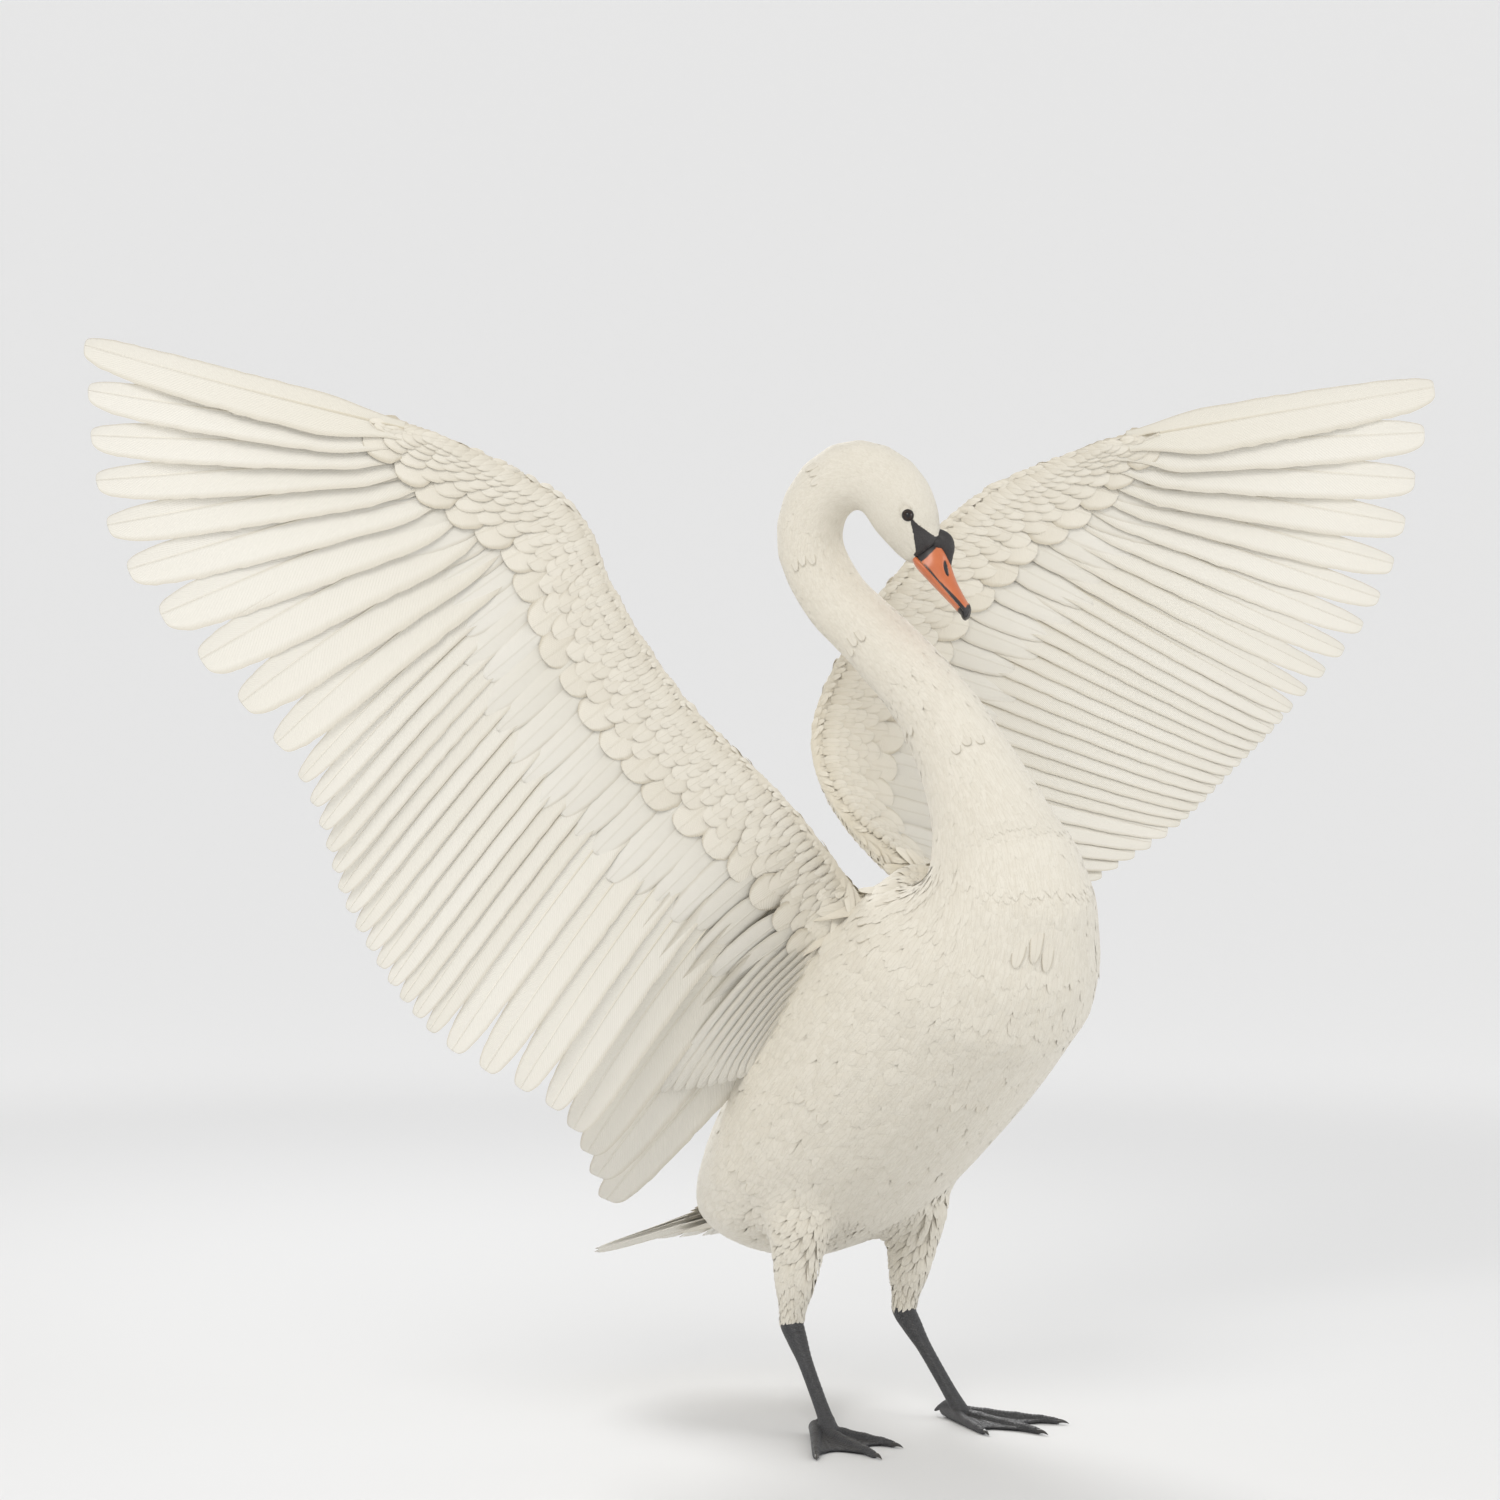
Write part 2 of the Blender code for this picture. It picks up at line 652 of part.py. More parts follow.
clear_scene()
FINISH = make_finishes()
TRUNK, HEAD = make_body()
TRUNK_CUTTER = grown_copy(TRUNK)
make_face(HEAD)
make_wing("right", RIGHT_WING, TRUNK_CUTTER)
make_wing("left", LEFT_WING, TRUNK_CUTTER)
make_tail(TRUNK_CUTTER)
for LABEL, SIDE in (("right", -1), ("left", 1)):
    FOOT = make_foot(LABEL, SIDE)
    make_leg(LABEL, SIDE, TRUNK_CUTTER, FOOT)
    make_claws(LABEL, SIDE)
centre_on_floor()
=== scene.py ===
# %% [markdown]
# # A mute swan, life size, with both wings raised
#
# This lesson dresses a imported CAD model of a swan. The CAD model gives the place and the outline of
# every part, and the looks are built around it: one skin, its coats of feathers, the bill, the eyes
# and the webbed feet. Everything is in metres, and up is +Z. The bird faces -Y, so its right wing
# is towards -X.

# %% Load the fixed frame
from functools import reduce
from math import cos, exp, pi, radians, sin, sqrt

import bmesh
import bpy
import numpy as np
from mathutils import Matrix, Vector
from mathutils.bvhtree import BVHTree


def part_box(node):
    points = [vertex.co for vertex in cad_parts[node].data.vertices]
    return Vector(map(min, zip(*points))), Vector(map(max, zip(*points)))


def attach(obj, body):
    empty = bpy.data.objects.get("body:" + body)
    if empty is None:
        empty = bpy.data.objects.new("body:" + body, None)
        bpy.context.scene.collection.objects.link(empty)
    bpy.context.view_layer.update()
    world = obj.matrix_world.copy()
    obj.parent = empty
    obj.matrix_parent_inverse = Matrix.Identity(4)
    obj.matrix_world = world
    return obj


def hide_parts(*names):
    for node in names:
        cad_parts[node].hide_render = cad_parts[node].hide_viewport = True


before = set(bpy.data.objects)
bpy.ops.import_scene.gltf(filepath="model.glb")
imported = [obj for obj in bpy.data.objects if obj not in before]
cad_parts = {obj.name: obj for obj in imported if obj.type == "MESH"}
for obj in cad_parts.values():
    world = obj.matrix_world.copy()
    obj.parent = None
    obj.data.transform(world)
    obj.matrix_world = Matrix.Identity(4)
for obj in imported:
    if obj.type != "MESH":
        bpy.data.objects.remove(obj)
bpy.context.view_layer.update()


def rounded(values, digits=3):
    return [round(float(value), digits) for value in np.ravel(values)]


# %% [markdown]
# ## The bird's own measures
#
# A swan's body is one long envelope round a line that runs from the rump, through the breast and
# the bent neck, to the face. Feathers lie along that line, so it is needed here again: the centre
# of each station, and the direction of the bird's back there. A cubic curve joins the stations. One
# shift, found from the eyes, brings the list to where the imported model stands.

# %% Smooth curves and unit directions
def smooth(keys, values, at):
    """Cubic curve through the values, which stand at rising keys, read at many places at once."""
    keys = np.asarray(keys, float)
    values = np.asarray(values, float)
    place = np.clip(np.asarray(at, float), keys[0], keys[-1])
    slopes = np.gradient(values, keys, axis=0)
    i = np.clip(np.searchsorted(keys, place, side="right") - 1, 0, len(keys) - 2)
    span = keys[i + 1] - keys[i]
    q = (place - keys[i]) / span
    if values.ndim > 1:
        q = q[..., None]
        span = span[..., None]
    start = values[i] * (2 * q**3 - 3 * q**2 + 1) + slopes[i] * span * (q**3 - 2 * q**2 + q)
    end = values[i + 1] * (3 * q**2 - 2 * q**3) + slopes[i + 1] * span * (q**3 - q**2)
    return start + end


def unit(ways):
    """Directions of length one."""
    return ways / np.maximum(np.linalg.norm(ways, axis=-1, keepdims=True), 1e-9)


def rise_between(low, high, value):
    """0 below low, 1 above high, and a soft step between them."""
    q = np.clip((value - low) / (high - low), 0.0, 1.0)
    return q * q * (3 - 2 * q)


def circle(count):
    """Evenly spaced angles once round."""
    return np.linspace(0, 2 * pi, count, endpoint=False)


print("half way up a soft step:", rise_between(0.0, 1.0, 0.5))

# %% The line of the body, from the rump to the face
TRUNK_PITCH = radians(42.0)
TRUNK_CENTRE = np.array((0.0, 0.0, 0.44))
FORWARD = np.array((0.0, -cos(TRUNK_PITCH), sin(TRUNK_PITCH)))
DORSAL = np.array((0.0, sin(TRUNK_PITCH), cos(TRUNK_PITCH)))


def trunk_point(along, raised=0.0):
    return tuple(TRUNK_CENTRE + FORWARD * along + DORSAL * raised)


BACK = tuple(DORSAL)
NAPE_LOW = (0.0, 0.85, -0.35)
NAPE_HIGH = (-0.80, 0.59, 0.05)
BROW = (0.609, -0.525, 0.58)
STATIONS = (
    (trunk_point(-0.390, 0.052), BACK),
    (trunk_point(-0.350, 0.040), BACK),
    (trunk_point(-0.270, 0.018), BACK),
    (trunk_point(-0.150), BACK),
    (trunk_point(-0.020), BACK),
    (trunk_point(0.120), BACK),
    (trunk_point(0.215), (0.0, 0.88, 0.48)),
    ((0.0, -0.190, 0.632), (0.0, 0.98, 0.10)),
    ((0.0, -0.172, 0.690), NAPE_LOW),
    ((-0.006, -0.141, 0.752), NAPE_LOW),
    ((-0.030, -0.101, 0.834), NAPE_LOW),
    ((-0.065, -0.048, 0.903), (-0.35, 0.85, -0.25)),
    ((-0.101, -0.002, 0.963), NAPE_HIGH),
    ((-0.122, 0.008, 1.022), NAPE_HIGH),
    ((-0.120, -0.018, 1.071), (-0.62, 0.35, 0.70)),
    ((-0.104, -0.054, 1.087), (-0.35, 0.10, 0.93)),
    ((-0.084, -0.081, 1.077), (0.40, -0.30, 0.87)),
    ((-0.068, -0.097, 1.046), BROW),
    ((-0.057, -0.109, 1.018), BROW),
    ((-0.050, -0.118, 1.004), BROW),
)
CENTRES = np.array([centre for centre, _ in STATIONS])
BACK_WAYS = np.array([way for _, way in STATIONS])
REACH = np.concatenate(([0.0], np.cumsum(np.linalg.norm(np.diff(CENTRES, axis=0), axis=1))))
NECK_START, HEAD_START, HEAD_END = REACH[7], REACH[15], REACH[-1]


def spine_frame(along):
    """Centre, forward, back and left directions at distances along the body's line."""
    centre = smooth(REACH, CENTRES, along)
    step = 0.002
    forward = unit(smooth(REACH, CENTRES, np.asarray(along) + step)
                   - smooth(REACH, CENTRES, np.asarray(along) - step))
    back = smooth(REACH, BACK_WAYS, along)
    back = unit(back - forward * np.sum(back * forward, axis=-1, keepdims=True))
    return centre, forward, back, unit(np.cross(back, forward))


EYE_BEHIND = 0.0440          # from the end of the line back to the eyes
EYE_RISE = 0.0030            # from the line up to the eyes


def box_middle(node):
    low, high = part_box(node)
    return np.array((low + high) / 2)


EYES = {side: box_middle("eye_" + side) for side in ("left", "right")}
eye_line, _, eye_back, _ = spine_frame(HEAD_END - EYE_BEHIND)
SHIFT = (EYES["left"] + EYES["right"]) / 2 - (eye_line + eye_back * EYE_RISE)
CENTRES = CENTRES + SHIFT
print("length along the body's line: %.3f m, shift %s" % (REACH[-1], np.round(SHIFT, 4)))

# %% [markdown]
# ## The wings as surfaces
#
# Each wing is one curved surface. Its places run outwards along the arm, from 0 inside the
# shoulder, over the elbow at 2 and the wrist at 4, to 6 at the end of the hand. The chord runs from
# 0 at the leading edge to 1 at the feather tips. Feathers are laid on it by these two numbers, so
# they follow the arm however it bends.

# %% Wing routes and their middle surface
WINGS = {
    "right": {
        "side": -1,
        "lead": ((-0.070, -0.070, 0.585), (-0.190, -0.055, 0.725), (-0.300, -0.022, 0.836),
                 (-0.380, -0.008, 0.945), (-0.432, 0.000, 1.045), (-0.520, 0.008, 1.092),
                 (-0.600, 0.026, 1.116)),
        "tips": ((-0.225, 0.265, 0.240), (-0.400, 0.090, 0.375), (-0.560, 0.090, 0.470),
                 (-0.660, 0.095, 0.600), (-0.745, 0.070, 0.765), (-0.930, 0.098, 0.985),
                 (-0.972, 0.093, 1.212)),
    },
    "left": {
        "side": 1,
        "lead": ((0.058, -0.020, 0.600), (-0.012, 0.105, 0.708), (-0.022, 0.148, 0.815),
                 (0.040, 0.122, 0.950), (0.130, 0.066, 1.072), (0.210, 0.024, 1.122),
                 (0.290, -0.015, 1.150)),
        "tips": ((0.270, 0.070, 0.590), (0.345, 0.030, 0.640), (0.425, 0.000, 0.690),
                 (0.486, -0.042, 0.762), (0.545, -0.086, 0.840), (0.648, -0.134, 0.985),
                 (0.700, -0.172, 1.250)),
    },
}
for wing in WINGS.values():
    wing["lead"] = np.array(wing["lead"]) + SHIFT
    wing["tips"] = np.array(wing["tips"]) + SHIFT
PLACES = np.arange(7.0)
ARM_THICKNESS = (0.040, 0.034, 0.026, 0.022, 0.019, 0.012, 0.005)
CAMBER = (0.010, 0.024, 0.030, 0.032, 0.034, 0.036, 0.020)
ELBOW, WRIST, HAND_END = 2.0, 4.0, 6.0
COVERT_SHARE = 0.42


def wing_back(wing, out):
    inner = np.maximum(out - 0.25, 0.0)
    outer = np.minimum(out + 0.25, HAND_END)
    spread = smooth(PLACES, wing["lead"], outer) + smooth(PLACES, wing["tips"], outer)
    spread = spread - smooth(PLACES, wing["lead"], inner) - smooth(PLACES, wing["tips"], inner)
    lay = smooth(PLACES, wing["tips"], out) - smooth(PLACES, wing["lead"], out)
    return unit(np.cross(spread, lay) * wing["side"])


def wing_point(wing, out, chord):
    out, chord = np.broadcast_arrays(np.asarray(out, float), np.asarray(chord, float))
    lead = smooth(PLACES, wing["lead"], out)
    tips = smooth(PLACES, wing["tips"], out)
    rise = smooth(PLACES, CAMBER, out) * 4 * chord * (1 - chord)
    return lead + (tips - lead) * chord[..., None] + wing_back(wing, out) * rise[..., None]


def wing_half(out, chord):
    share = np.clip(np.asarray(chord) / COVERT_SHARE, 0.0, 1.0)
    thickness = smooth(PLACES, ARM_THICKNESS, out)
    half = thickness * 2.6 * (np.sqrt(share) - share) * (1 - 0.45 * share)
    return half + 0.0016 * np.minimum(1.0, 4 * np.sqrt(share))


for name, wing in WINGS.items():
    span = np.linalg.norm(np.diff(wing["lead"], axis=0), axis=1).sum()
    wrist_chord = np.linalg.norm(wing["tips"][int(WRIST)] - wing["lead"][int(WRIST)])
    print(name, "wing: arm %.2f m, chord at the wrist %.2f m" % (span, wrist_chord))

# %% [markdown]
# ## Node trees in a few words
#
# Shader trees and geometry trees are both wired by one small helper. It adds a node, sets its
# fields, fills or wires its inputs in order, and gives back the output that the next node needs.
# Shorter helpers stand for the nodes that come up most.

# %% One helper for every node tree
def fill(socket, value):
    """Wires a socket, or sets its own value."""
    if isinstance(value, bpy.types.NodeSocket):
        socket.id_data.links.new(value, socket)
    elif value is not None:
        socket.default_value = value


def put(tree, kind, *inputs, out=0, **fields):
    made = tree.nodes.new(kind)
    for field, value in fields.items():
        setattr(made, field, value)
    for socket, value in zip([socket for socket in made.inputs if socket.enabled], inputs):
        fill(socket, value)
    return [socket for socket in made.outputs if socket.enabled][out]


def tree_of(values):
    """The tree that the sockets among the values belong to."""
    return next(value.id_data for value in values if isinstance(value, bpy.types.NodeSocket))


def maths(operation, *values):
    return put(tree_of(values), "ShaderNodeMath", *values, operation=operation)


def times(*values):
    return reduce(lambda first, second: maths("MULTIPLY", first, second), values)


def minus(first, second):
    return maths("SUBTRACT", first, second)


def vectors(operation, *values):
    return put(tree_of(values), "ShaderNodeVectorMath", *values, operation=operation)


def scaled(vector, share):
    return vectors("SCALE", vector, share)


def plus(*values):
    return reduce(lambda first, second: vectors("ADD", first, second), values)


def ramp(value, low, high, first=0.0, last=1.0, way="LINEAR"):
    """First below low, last above high, and a straight or soft rise between them."""
    return put(value.id_data, "ShaderNodeMapRange", value, low, high, first, last,
               interpolation_type=way)


def parts(vector):
    """The three numbers in a vector."""
    apart = vector.id_data.nodes.new("ShaderNodeSeparateXYZ")
    vector.id_data.links.new(vector, apart.inputs[0])
    return apart.outputs


def feed(node, **values):
    """Wires or fills a node's inputs by their names."""
    for label, value in values.items():
        fill(node.inputs[label.replace("_", " ")], value)


SOCKETS = {int: "Int", float: "Float", tuple: "Vector"}


def new_group(name, kind, inputs, outputs):
    """A node group, with its inputs and outputs. An input is given as its value or its kind."""
    tree = bpy.data.node_groups.new(name, kind)
    for label, value in inputs.items():
        socket = SOCKETS.get(type(value), value)
        made = tree.interface.new_socket(label, in_out="INPUT", socket_type="NodeSocket" + socket)
        if socket is not value:
            made.default_value = value
    out_kind = "NodeSocketGeometry" if kind == "GeometryNodeTree" else "NodeSocketFloat"
    for label in outputs:
        tree.interface.new_socket(label, in_out="OUTPUT", socket_type=out_kind)
    given = tree.nodes.new("NodeGroupInput").outputs
    result = tree.nodes.new("NodeGroupOutput").inputs
    return tree, given, result


print("tree helpers ready")

# %% [markdown]
# ## One feather as a rule
#
# A feather is a stiff shaft with a flat vane on each side. It could be modelled once and copied,
# but then every copy would be as straight as the first. Here it is a rule instead: a unit cylinder
# with few sides is carried along a curved shaft, flattened to a thin closed shell, widened by a
# profile that rounds off at the tip, and cupped down at its edges. Each root point says where its
# own shaft starts, bends and ends, which way the vane faces and how wide it is. This tree lays
# every feather on the bird.

# %% The tree that turns root points into vanes
PATCH = 0.0028               # size of a vane's patch on the unwrap
LEAST_TIP = 0.07             # share of the width left at the very tip
THIN_TIP = 0.35              # share of the thickness left there
SOFT = "SMOOTHSTEP"


def build_vane_tree():
    tree, given, result = new_group("lay vanes", "GeometryNodeTree", {
        "Roots": "Geometry", "Sides": 4, "Rows": 4, "Half thickness": 0.0003, "Quill width": 0.4,
        "Full from": 0.42, "Tip power": 2.4, "Cup": 0.2, "Fray": 0.0, "Row crowding": 1.5,
        "Finish": "Material"}, ("Vanes",))
    tube = put(tree, "GeometryNodeMeshCylinder", given["Sides"], given["Rows"], 1, 1.0, 1.0,
               fill_type="NGON")
    quarter = put(tree, "GeometryNodeTransform", tube, None, (0, 0, pi / 2))
    plain = put(tree, "GeometryNodeStoreNamedAttribute", quarter, None, "unit",
                put(tree, "GeometryNodeInputPosition"), data_type="FLOAT_VECTOR", domain="POINT")
    copies = put(tree, "GeometryNodeInstanceOnPoints", given["Roots"], None, plain)
    real = put(tree, "GeometryNodeRealizeInstances", copies)

    def named(name, kind="FLOAT_VECTOR"):
        return put(tree, "GeometryNodeInputNamedAttribute", name, data_type=kind)

    across, rise, height = parts(named("unit"))
    level = maths("ADD", height, 0.5)
    left_over = maths("MAXIMUM", minus(1.0, level), 0.0)
    t = minus(1.0, maths("POWER", left_over, given["Row crowding"]))
    rest = minus(1.0, t)
    root, bend, tip = named("root"), named("bend"), named("tip")

    # The shaft is a parabola through the root, the bend and the tip.
    first = scaled(root, times(rest, rest))
    second = scaled(bend, times(rest, t, 2.0))
    third = scaled(tip, times(t, t))
    shaft = plus(first, second, third)
    slope = plus(scaled(vectors("SUBTRACT", bend, root), rest),
                 scaled(vectors("SUBTRACT", tip, bend), t))
    ahead = vectors("NORMALIZE", slope)
    aside = vectors("NORMALIZE", vectors("CROSS_PRODUCT", named("facing"), ahead))
    up = vectors("CROSS_PRODUCT", ahead, aside)

    # The width: narrow at the quill, round at the tip, worn along the edges.
    quill = ramp(t, 0.0, given["Full from"], given["Quill width"], 1.0, SOFT)
    power = given["Tip power"]
    left = maths("MAXIMUM", minus(1.0, maths("POWER", t, power)), 0.0)
    round_tip = maths("POWER", left, maths("DIVIDE", 1.0, power))
    profile = times(quill, maths("MAXIMUM", round_tip, LEAST_TIP))
    width = times(named("half_width", "FLOAT"), profile)
    leaning = maths("MULTIPLY_ADD", named("lean", "FLOAT"), across, 1.0)
    tone = named("tone", "FLOAT")
    edge = maths("POWER", maths("ABSOLUTE", across), 4.0)
    spot = put(tree, "ShaderNodeCombineXYZ", times(t, 31.0), times(tone, 211.0),
               times(across, 1.7))
    rough = put(tree, "ShaderNodeTexNoise", spot, 1.0, 1.0)
    worn = minus(1.0, times(edge, rough, given["Fray"]))
    reach = times(across, width, leaning, worn)

    # The thickness, and how far the edges hang below the shaft.
    drop = times(across, across, width, given["Cup"])
    thin = ramp(t, 0.0, 1.0, 1.0, THIN_TIP)
    lift = minus(times(rise, given["Half thickness"], thin), drop)
    place = plus(shaft, scaled(aside, reach), scaled(up, lift))
    moved = put(tree, "GeometryNodeSetPosition", real, None, place)
    vane = put(tree, "ShaderNodeCombineXYZ", across, t, tone)
    told = put(tree, "GeometryNodeStoreNamedAttribute", moved, None, "vane", vane,
               data_type="FLOAT_VECTOR", domain="POINT")
    corner = put(tree, "ShaderNodeCombineXYZ", times(across, PATCH / 2),
                 times(minus(t, 0.5), PATCH), 0.0)
    mapped = put(tree, "GeometryNodeStoreNamedAttribute", told, None, "OFBake",
                 plus(named("patch"), corner), data_type="FLOAT2", domain="CORNER")
    whole = put(tree, "GeometryNodeRealizeInstances", mapped)
    tree.links.new(put(tree, "GeometryNodeSetMaterial", whole, None, given["Finish"]), result[0])
    return tree


VANES = build_vane_tree()
print("vane tree:", len(VANES.nodes), "nodes")

# %% [markdown]
# The helper below sets a tree's inputs by their names, evaluates the object once, keeps the result
# as a plain mesh, and clears up after itself.

# %% Run a tree on a mesh and keep a plain mesh
def placed(name, data):
    """A new object in the scene, at the origin."""
    thing = bpy.data.objects.new(name, data)
    bpy.context.scene.collection.objects.link(thing)
    return thing


SCRATCH = ("unit", "root", "bend", "tip", "facing", "half_width", "lean", "tone", "patch", "lie",
           "feather_length", "lift", "cover", "unwrap", "normal_here", "run", "way", "middle",
           "material_index")
CREASE = radians(50)    # edges sharper than this aren't smoothed


def plain_mesh(source):
    """What an object's modifiers make of its mesh. The object itself is removed."""
    bpy.context.view_layer.update()
    seen = source.evaluated_get(bpy.context.evaluated_depsgraph_get())
    made = bpy.data.meshes.new_from_object(seen)
    bpy.data.objects.remove(source)
    return made


def grown(name, mesh, tree, **values):
    source = placed(name + "_roots", mesh)
    change = source.modifiers.new("grow", "NODES")
    change.node_group = tree
    for socket in tree.interface.items_tree:
        label = socket.name.lower().replace(" ", "_")
        if socket.in_out == "INPUT" and label in values:
            change[socket.identifier] = values[label]
    made = plain_mesh(source)
    made.name = name
    for spare in SCRATCH:
        if spare in made.attributes:
            made.attributes.remove(made.attributes[spare])
    made.materials.clear()
    made.materials.append(values["finish"])
    made.shade_smooth()
    made.set_sharp_from_angle(angle=CREASE)
    return made


def piece(name, mesh, slot, *replaced):
    """A finished piece: it rides on the bird and may stand for CAD nodes."""
    thing = placed(name, mesh)
    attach(thing, "root")
    if replaced:
        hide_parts(*replaced)
    mesh.calc_loop_triangles()
    print("%-26s %7d triangles" % (name, len(mesh.loop_triangles)))
    return thing


def store(mesh, name, kind, values):
    """Keeps one value for each point of a mesh."""
    kept = mesh.attributes.new(name, kind, "POINT")
    field = "vector" if kind in ("FLOAT_VECTOR", "FLOAT2") else "value"
    kept.data.foreach_set(field, np.ascontiguousarray(values, np.float32).ravel())


print("mesh helpers ready")

# %% [markdown]
# ## Finishes
#
# White plumage isn't one white. Each feather has a slightly different tone, its base is painted
# darker as shade where the next one covers it, a painted shade line runs along its edges, its
# shaft shows as a fine line, and its barbs catch the light in rows. These marks are read from the
# vane's own coordinates, which the tree above keeps on the mesh. They sit in one shader group,
# which body feathers and flight feathers share.

# %% Shader groups: the marks of a vane, and pebbled skin
def attribute(tree, name, out=2):
    """What a mesh carries under a name, as a number, or as a vector where out is 1."""
    return put(tree, "ShaderNodeAttribute", out=out, attribute_name=name)


def object_place(tree):
    return put(tree, "ShaderNodeTexCoord", out=3)


def noise(place, scale, detail):
    return put(place.id_data, "ShaderNodeTexNoise", place, scale, detail)


def build_vane_marks():
    tree, given, result = new_group("vane marks", "ShaderNodeTree",
                                    {"Barbs": 30.0, "Slant": 6.0},
                                    ("Shaft", "Rim", "Tone", "Along", "Height"))
    across, along, tone = parts(attribute(tree, "vane", 1))
    out = maths("ABSOLUTE", across)
    shaft = ramp(out, 0.02, 0.10, 1.0, 0.0, SOFT)
    # the edge band, where the feather finishes paint a shade line
    rim = ramp(out, 0.72, 1.0, 0.0, 1.0, SOFT)
    turns = minus(times(along, given["Barbs"]), times(out, given["Slant"]))
    wave = maths("SINE", times(turns, 2 * pi))
    height = maths("ADD", times(wave, 0.35), shaft)
    for socket, value in zip(result, (shaft, rim, tone, along, height)):
        tree.links.new(value, socket)
    return tree


def build_pebbles():
    tree, given, result = new_group("skin pebbles", "ShaderNodeTree",
                                    {"Size": 400.0, "Stretch": (1.0, 1.0, 1.0)},
                                    ("Height", "Cracks", "Mottle"))
    place = vectors("MULTIPLY", object_place(tree), given["Stretch"])
    cells = put(tree, "ShaderNodeTexVoronoi", place, given["Size"], feature="DISTANCE_TO_EDGE")
    height = ramp(cells, 0.0, 0.22, 0.0, 1.0, SOFT)
    mottle = noise(place, times(given["Size"], 0.12), 4.0)
    for socket, value in zip(result, (height, minus(1.0, height), mottle)):
        tree.links.new(value, socket)
    return tree


def use(tree, group, *values):
    made = tree.nodes.new("ShaderNodeGroup")
    made.node_tree = group
    for socket, value in zip(made.inputs, values):
        socket.default_value = value
    return made.outputs


def blend(share, first, second, kind="RGBA"):
    return put(share.id_data, "ShaderNodeMix", share, first, second, data_type=kind)


def new_finish(name, roughness, **sockets):
    """A material with one Principled shader, whose plain numbers sit on its own sockets."""
    finish = bpy.data.materials.new(name)
    finish.use_nodes = True
    shader = finish.node_tree.nodes["Principled BSDF"]
    feed(shader, Roughness=roughness, **sockets)
    return finish, finish.node_tree, shader


def bump(shader, height, distance, strength):
    raised = put(shader.id_data, "ShaderNodeBump", strength, distance, None, height)
    feed(shader, Normal=raised)


MARKS = build_vane_marks()
PEBBLES = build_pebbles()
print("shader groups:", MARKS.name, "and", PEBBLES.name)

# %% [markdown]
# The body feathers are a warm cream white, and the flight feathers a shade paler. Both get some
# sheen, as feathers scatter light at grazing angles. The skin carries the same cream, and one
# attribute turns it and the feathers on it black on the bare face.

# %% Plumage, flight feathers and skin
CREAM = (0.80, 0.755, 0.655, 1.0)
# painted shade on the covered bases of body feathers; the skin also uses it as the darker tone of its
# mottle
CREAM_SHADE = (0.66, 0.605, 0.495, 1.0)
# a darker cream for the shafts' fine line, and the painted shade along the vanes' edges
SHAFT_TINT_AND_EDGE_SHADE = (0.56, 0.50, 0.385, 1.0)
PALE = (0.83, 0.80, 0.725, 1.0)
# painted shade on the covered bases of flight feathers
PALE_SHADE = (0.74, 0.70, 0.60, 1.0)
BLACK = (0.020, 0.017, 0.017, 1.0)


# The sixth argument sets how strongly a shade line is painted along each vane's edge.
def feather_finish(name, light, shade, barbs, slant, rim_share, distance):
    finish, tree, shader = new_finish(name, 0.72, Sheen_Weight=0.25, Sheen_Roughness=0.45)
    shaft, rim, tone, along, height = use(tree, MARKS, barbs, slant)
    # painted shade: each feather's base is darker where the next one covers it, fading out by three
    # quarters of its length
    covered = ramp(along, 0.0, 0.75, 0.55, 0.0)
    uneven = times(minus(tone, 0.25), 0.35)
    share = maths("MAXIMUM", maths("ADD", covered, uneven), 0.0)
    colour = blend(share, light, shade)
    # painted shade: a darker line along each vane's edge, for the shadow where feathers overlap
    colour = blend(times(rim, rim_share), colour, SHAFT_TINT_AND_EDGE_SHADE)
    colour = blend(times(shaft, 0.18), colour, SHAFT_TINT_AND_EDGE_SHADE)
    black = ramp(attribute(tree, "black_face"), 0.86, 0.90)
    colour = blend(black, colour, BLACK)
    feed(shader, Base_Color=colour)
    bump(shader, height, distance, 0.6)
    return finish


PLUMAGE = feather_finish("plumage feathers", CREAM, CREAM_SHADE, 14.0, 3.0, 0.22, 0.0002)
COVERTS = feather_finish("covert feathers", CREAM, CREAM_SHADE, 26.0, 5.0, 0.40, 0.0003)
# the standing sets and scallops get the strongest painted shade line along their edges
STANDING = feather_finish("standing feathers", CREAM, CREAM_SHADE, 26.0, 5.0, 0.80, 0.0003)
FLIGHT = feather_finish("flight feathers", PALE, PALE_SHADE, 90.0, 9.0, 0.45, 0.0004)


def shaft_finish():
    finish, tree, shader = new_finish("feather shafts", 0.42, Coat_Weight=0.15, Coat_Roughness=0.3)
    _, along, _ = parts(attribute(tree, "vane", 1))
    feed(shader, Base_Color=blend(along, (0.66, 0.60, 0.47, 1.0), PALE))
    bump(shader, noise(object_place(tree), 700.0, 3.0), 0.0001, 0.4)
    return finish


SHAFT = shaft_finish()


def skin_finish():
    finish, tree, shader = new_finish("downy skin", 0.8, Sheen_Weight=0.2)
    height, cracks, mottle = use(tree, PEBBLES, 520.0)
    black = ramp(attribute(tree, "black_face"), 0.30, 0.60)
    down = blend(mottle, CREAM_SHADE, CREAM)
    bare = blend(times(cracks, 0.5), BLACK, (0.05, 0.045, 0.043, 1.0))
    feed(shader, Base_Color=blend(black, down, bare))
    rough = blend(black, 0.85, 0.46, "FLOAT")
    feed(shader, Roughness=rough)
    bump(shader, height, 0.00025, 0.5)
    return finish


SKIN = skin_finish()
print("feather and skin finishes ready")

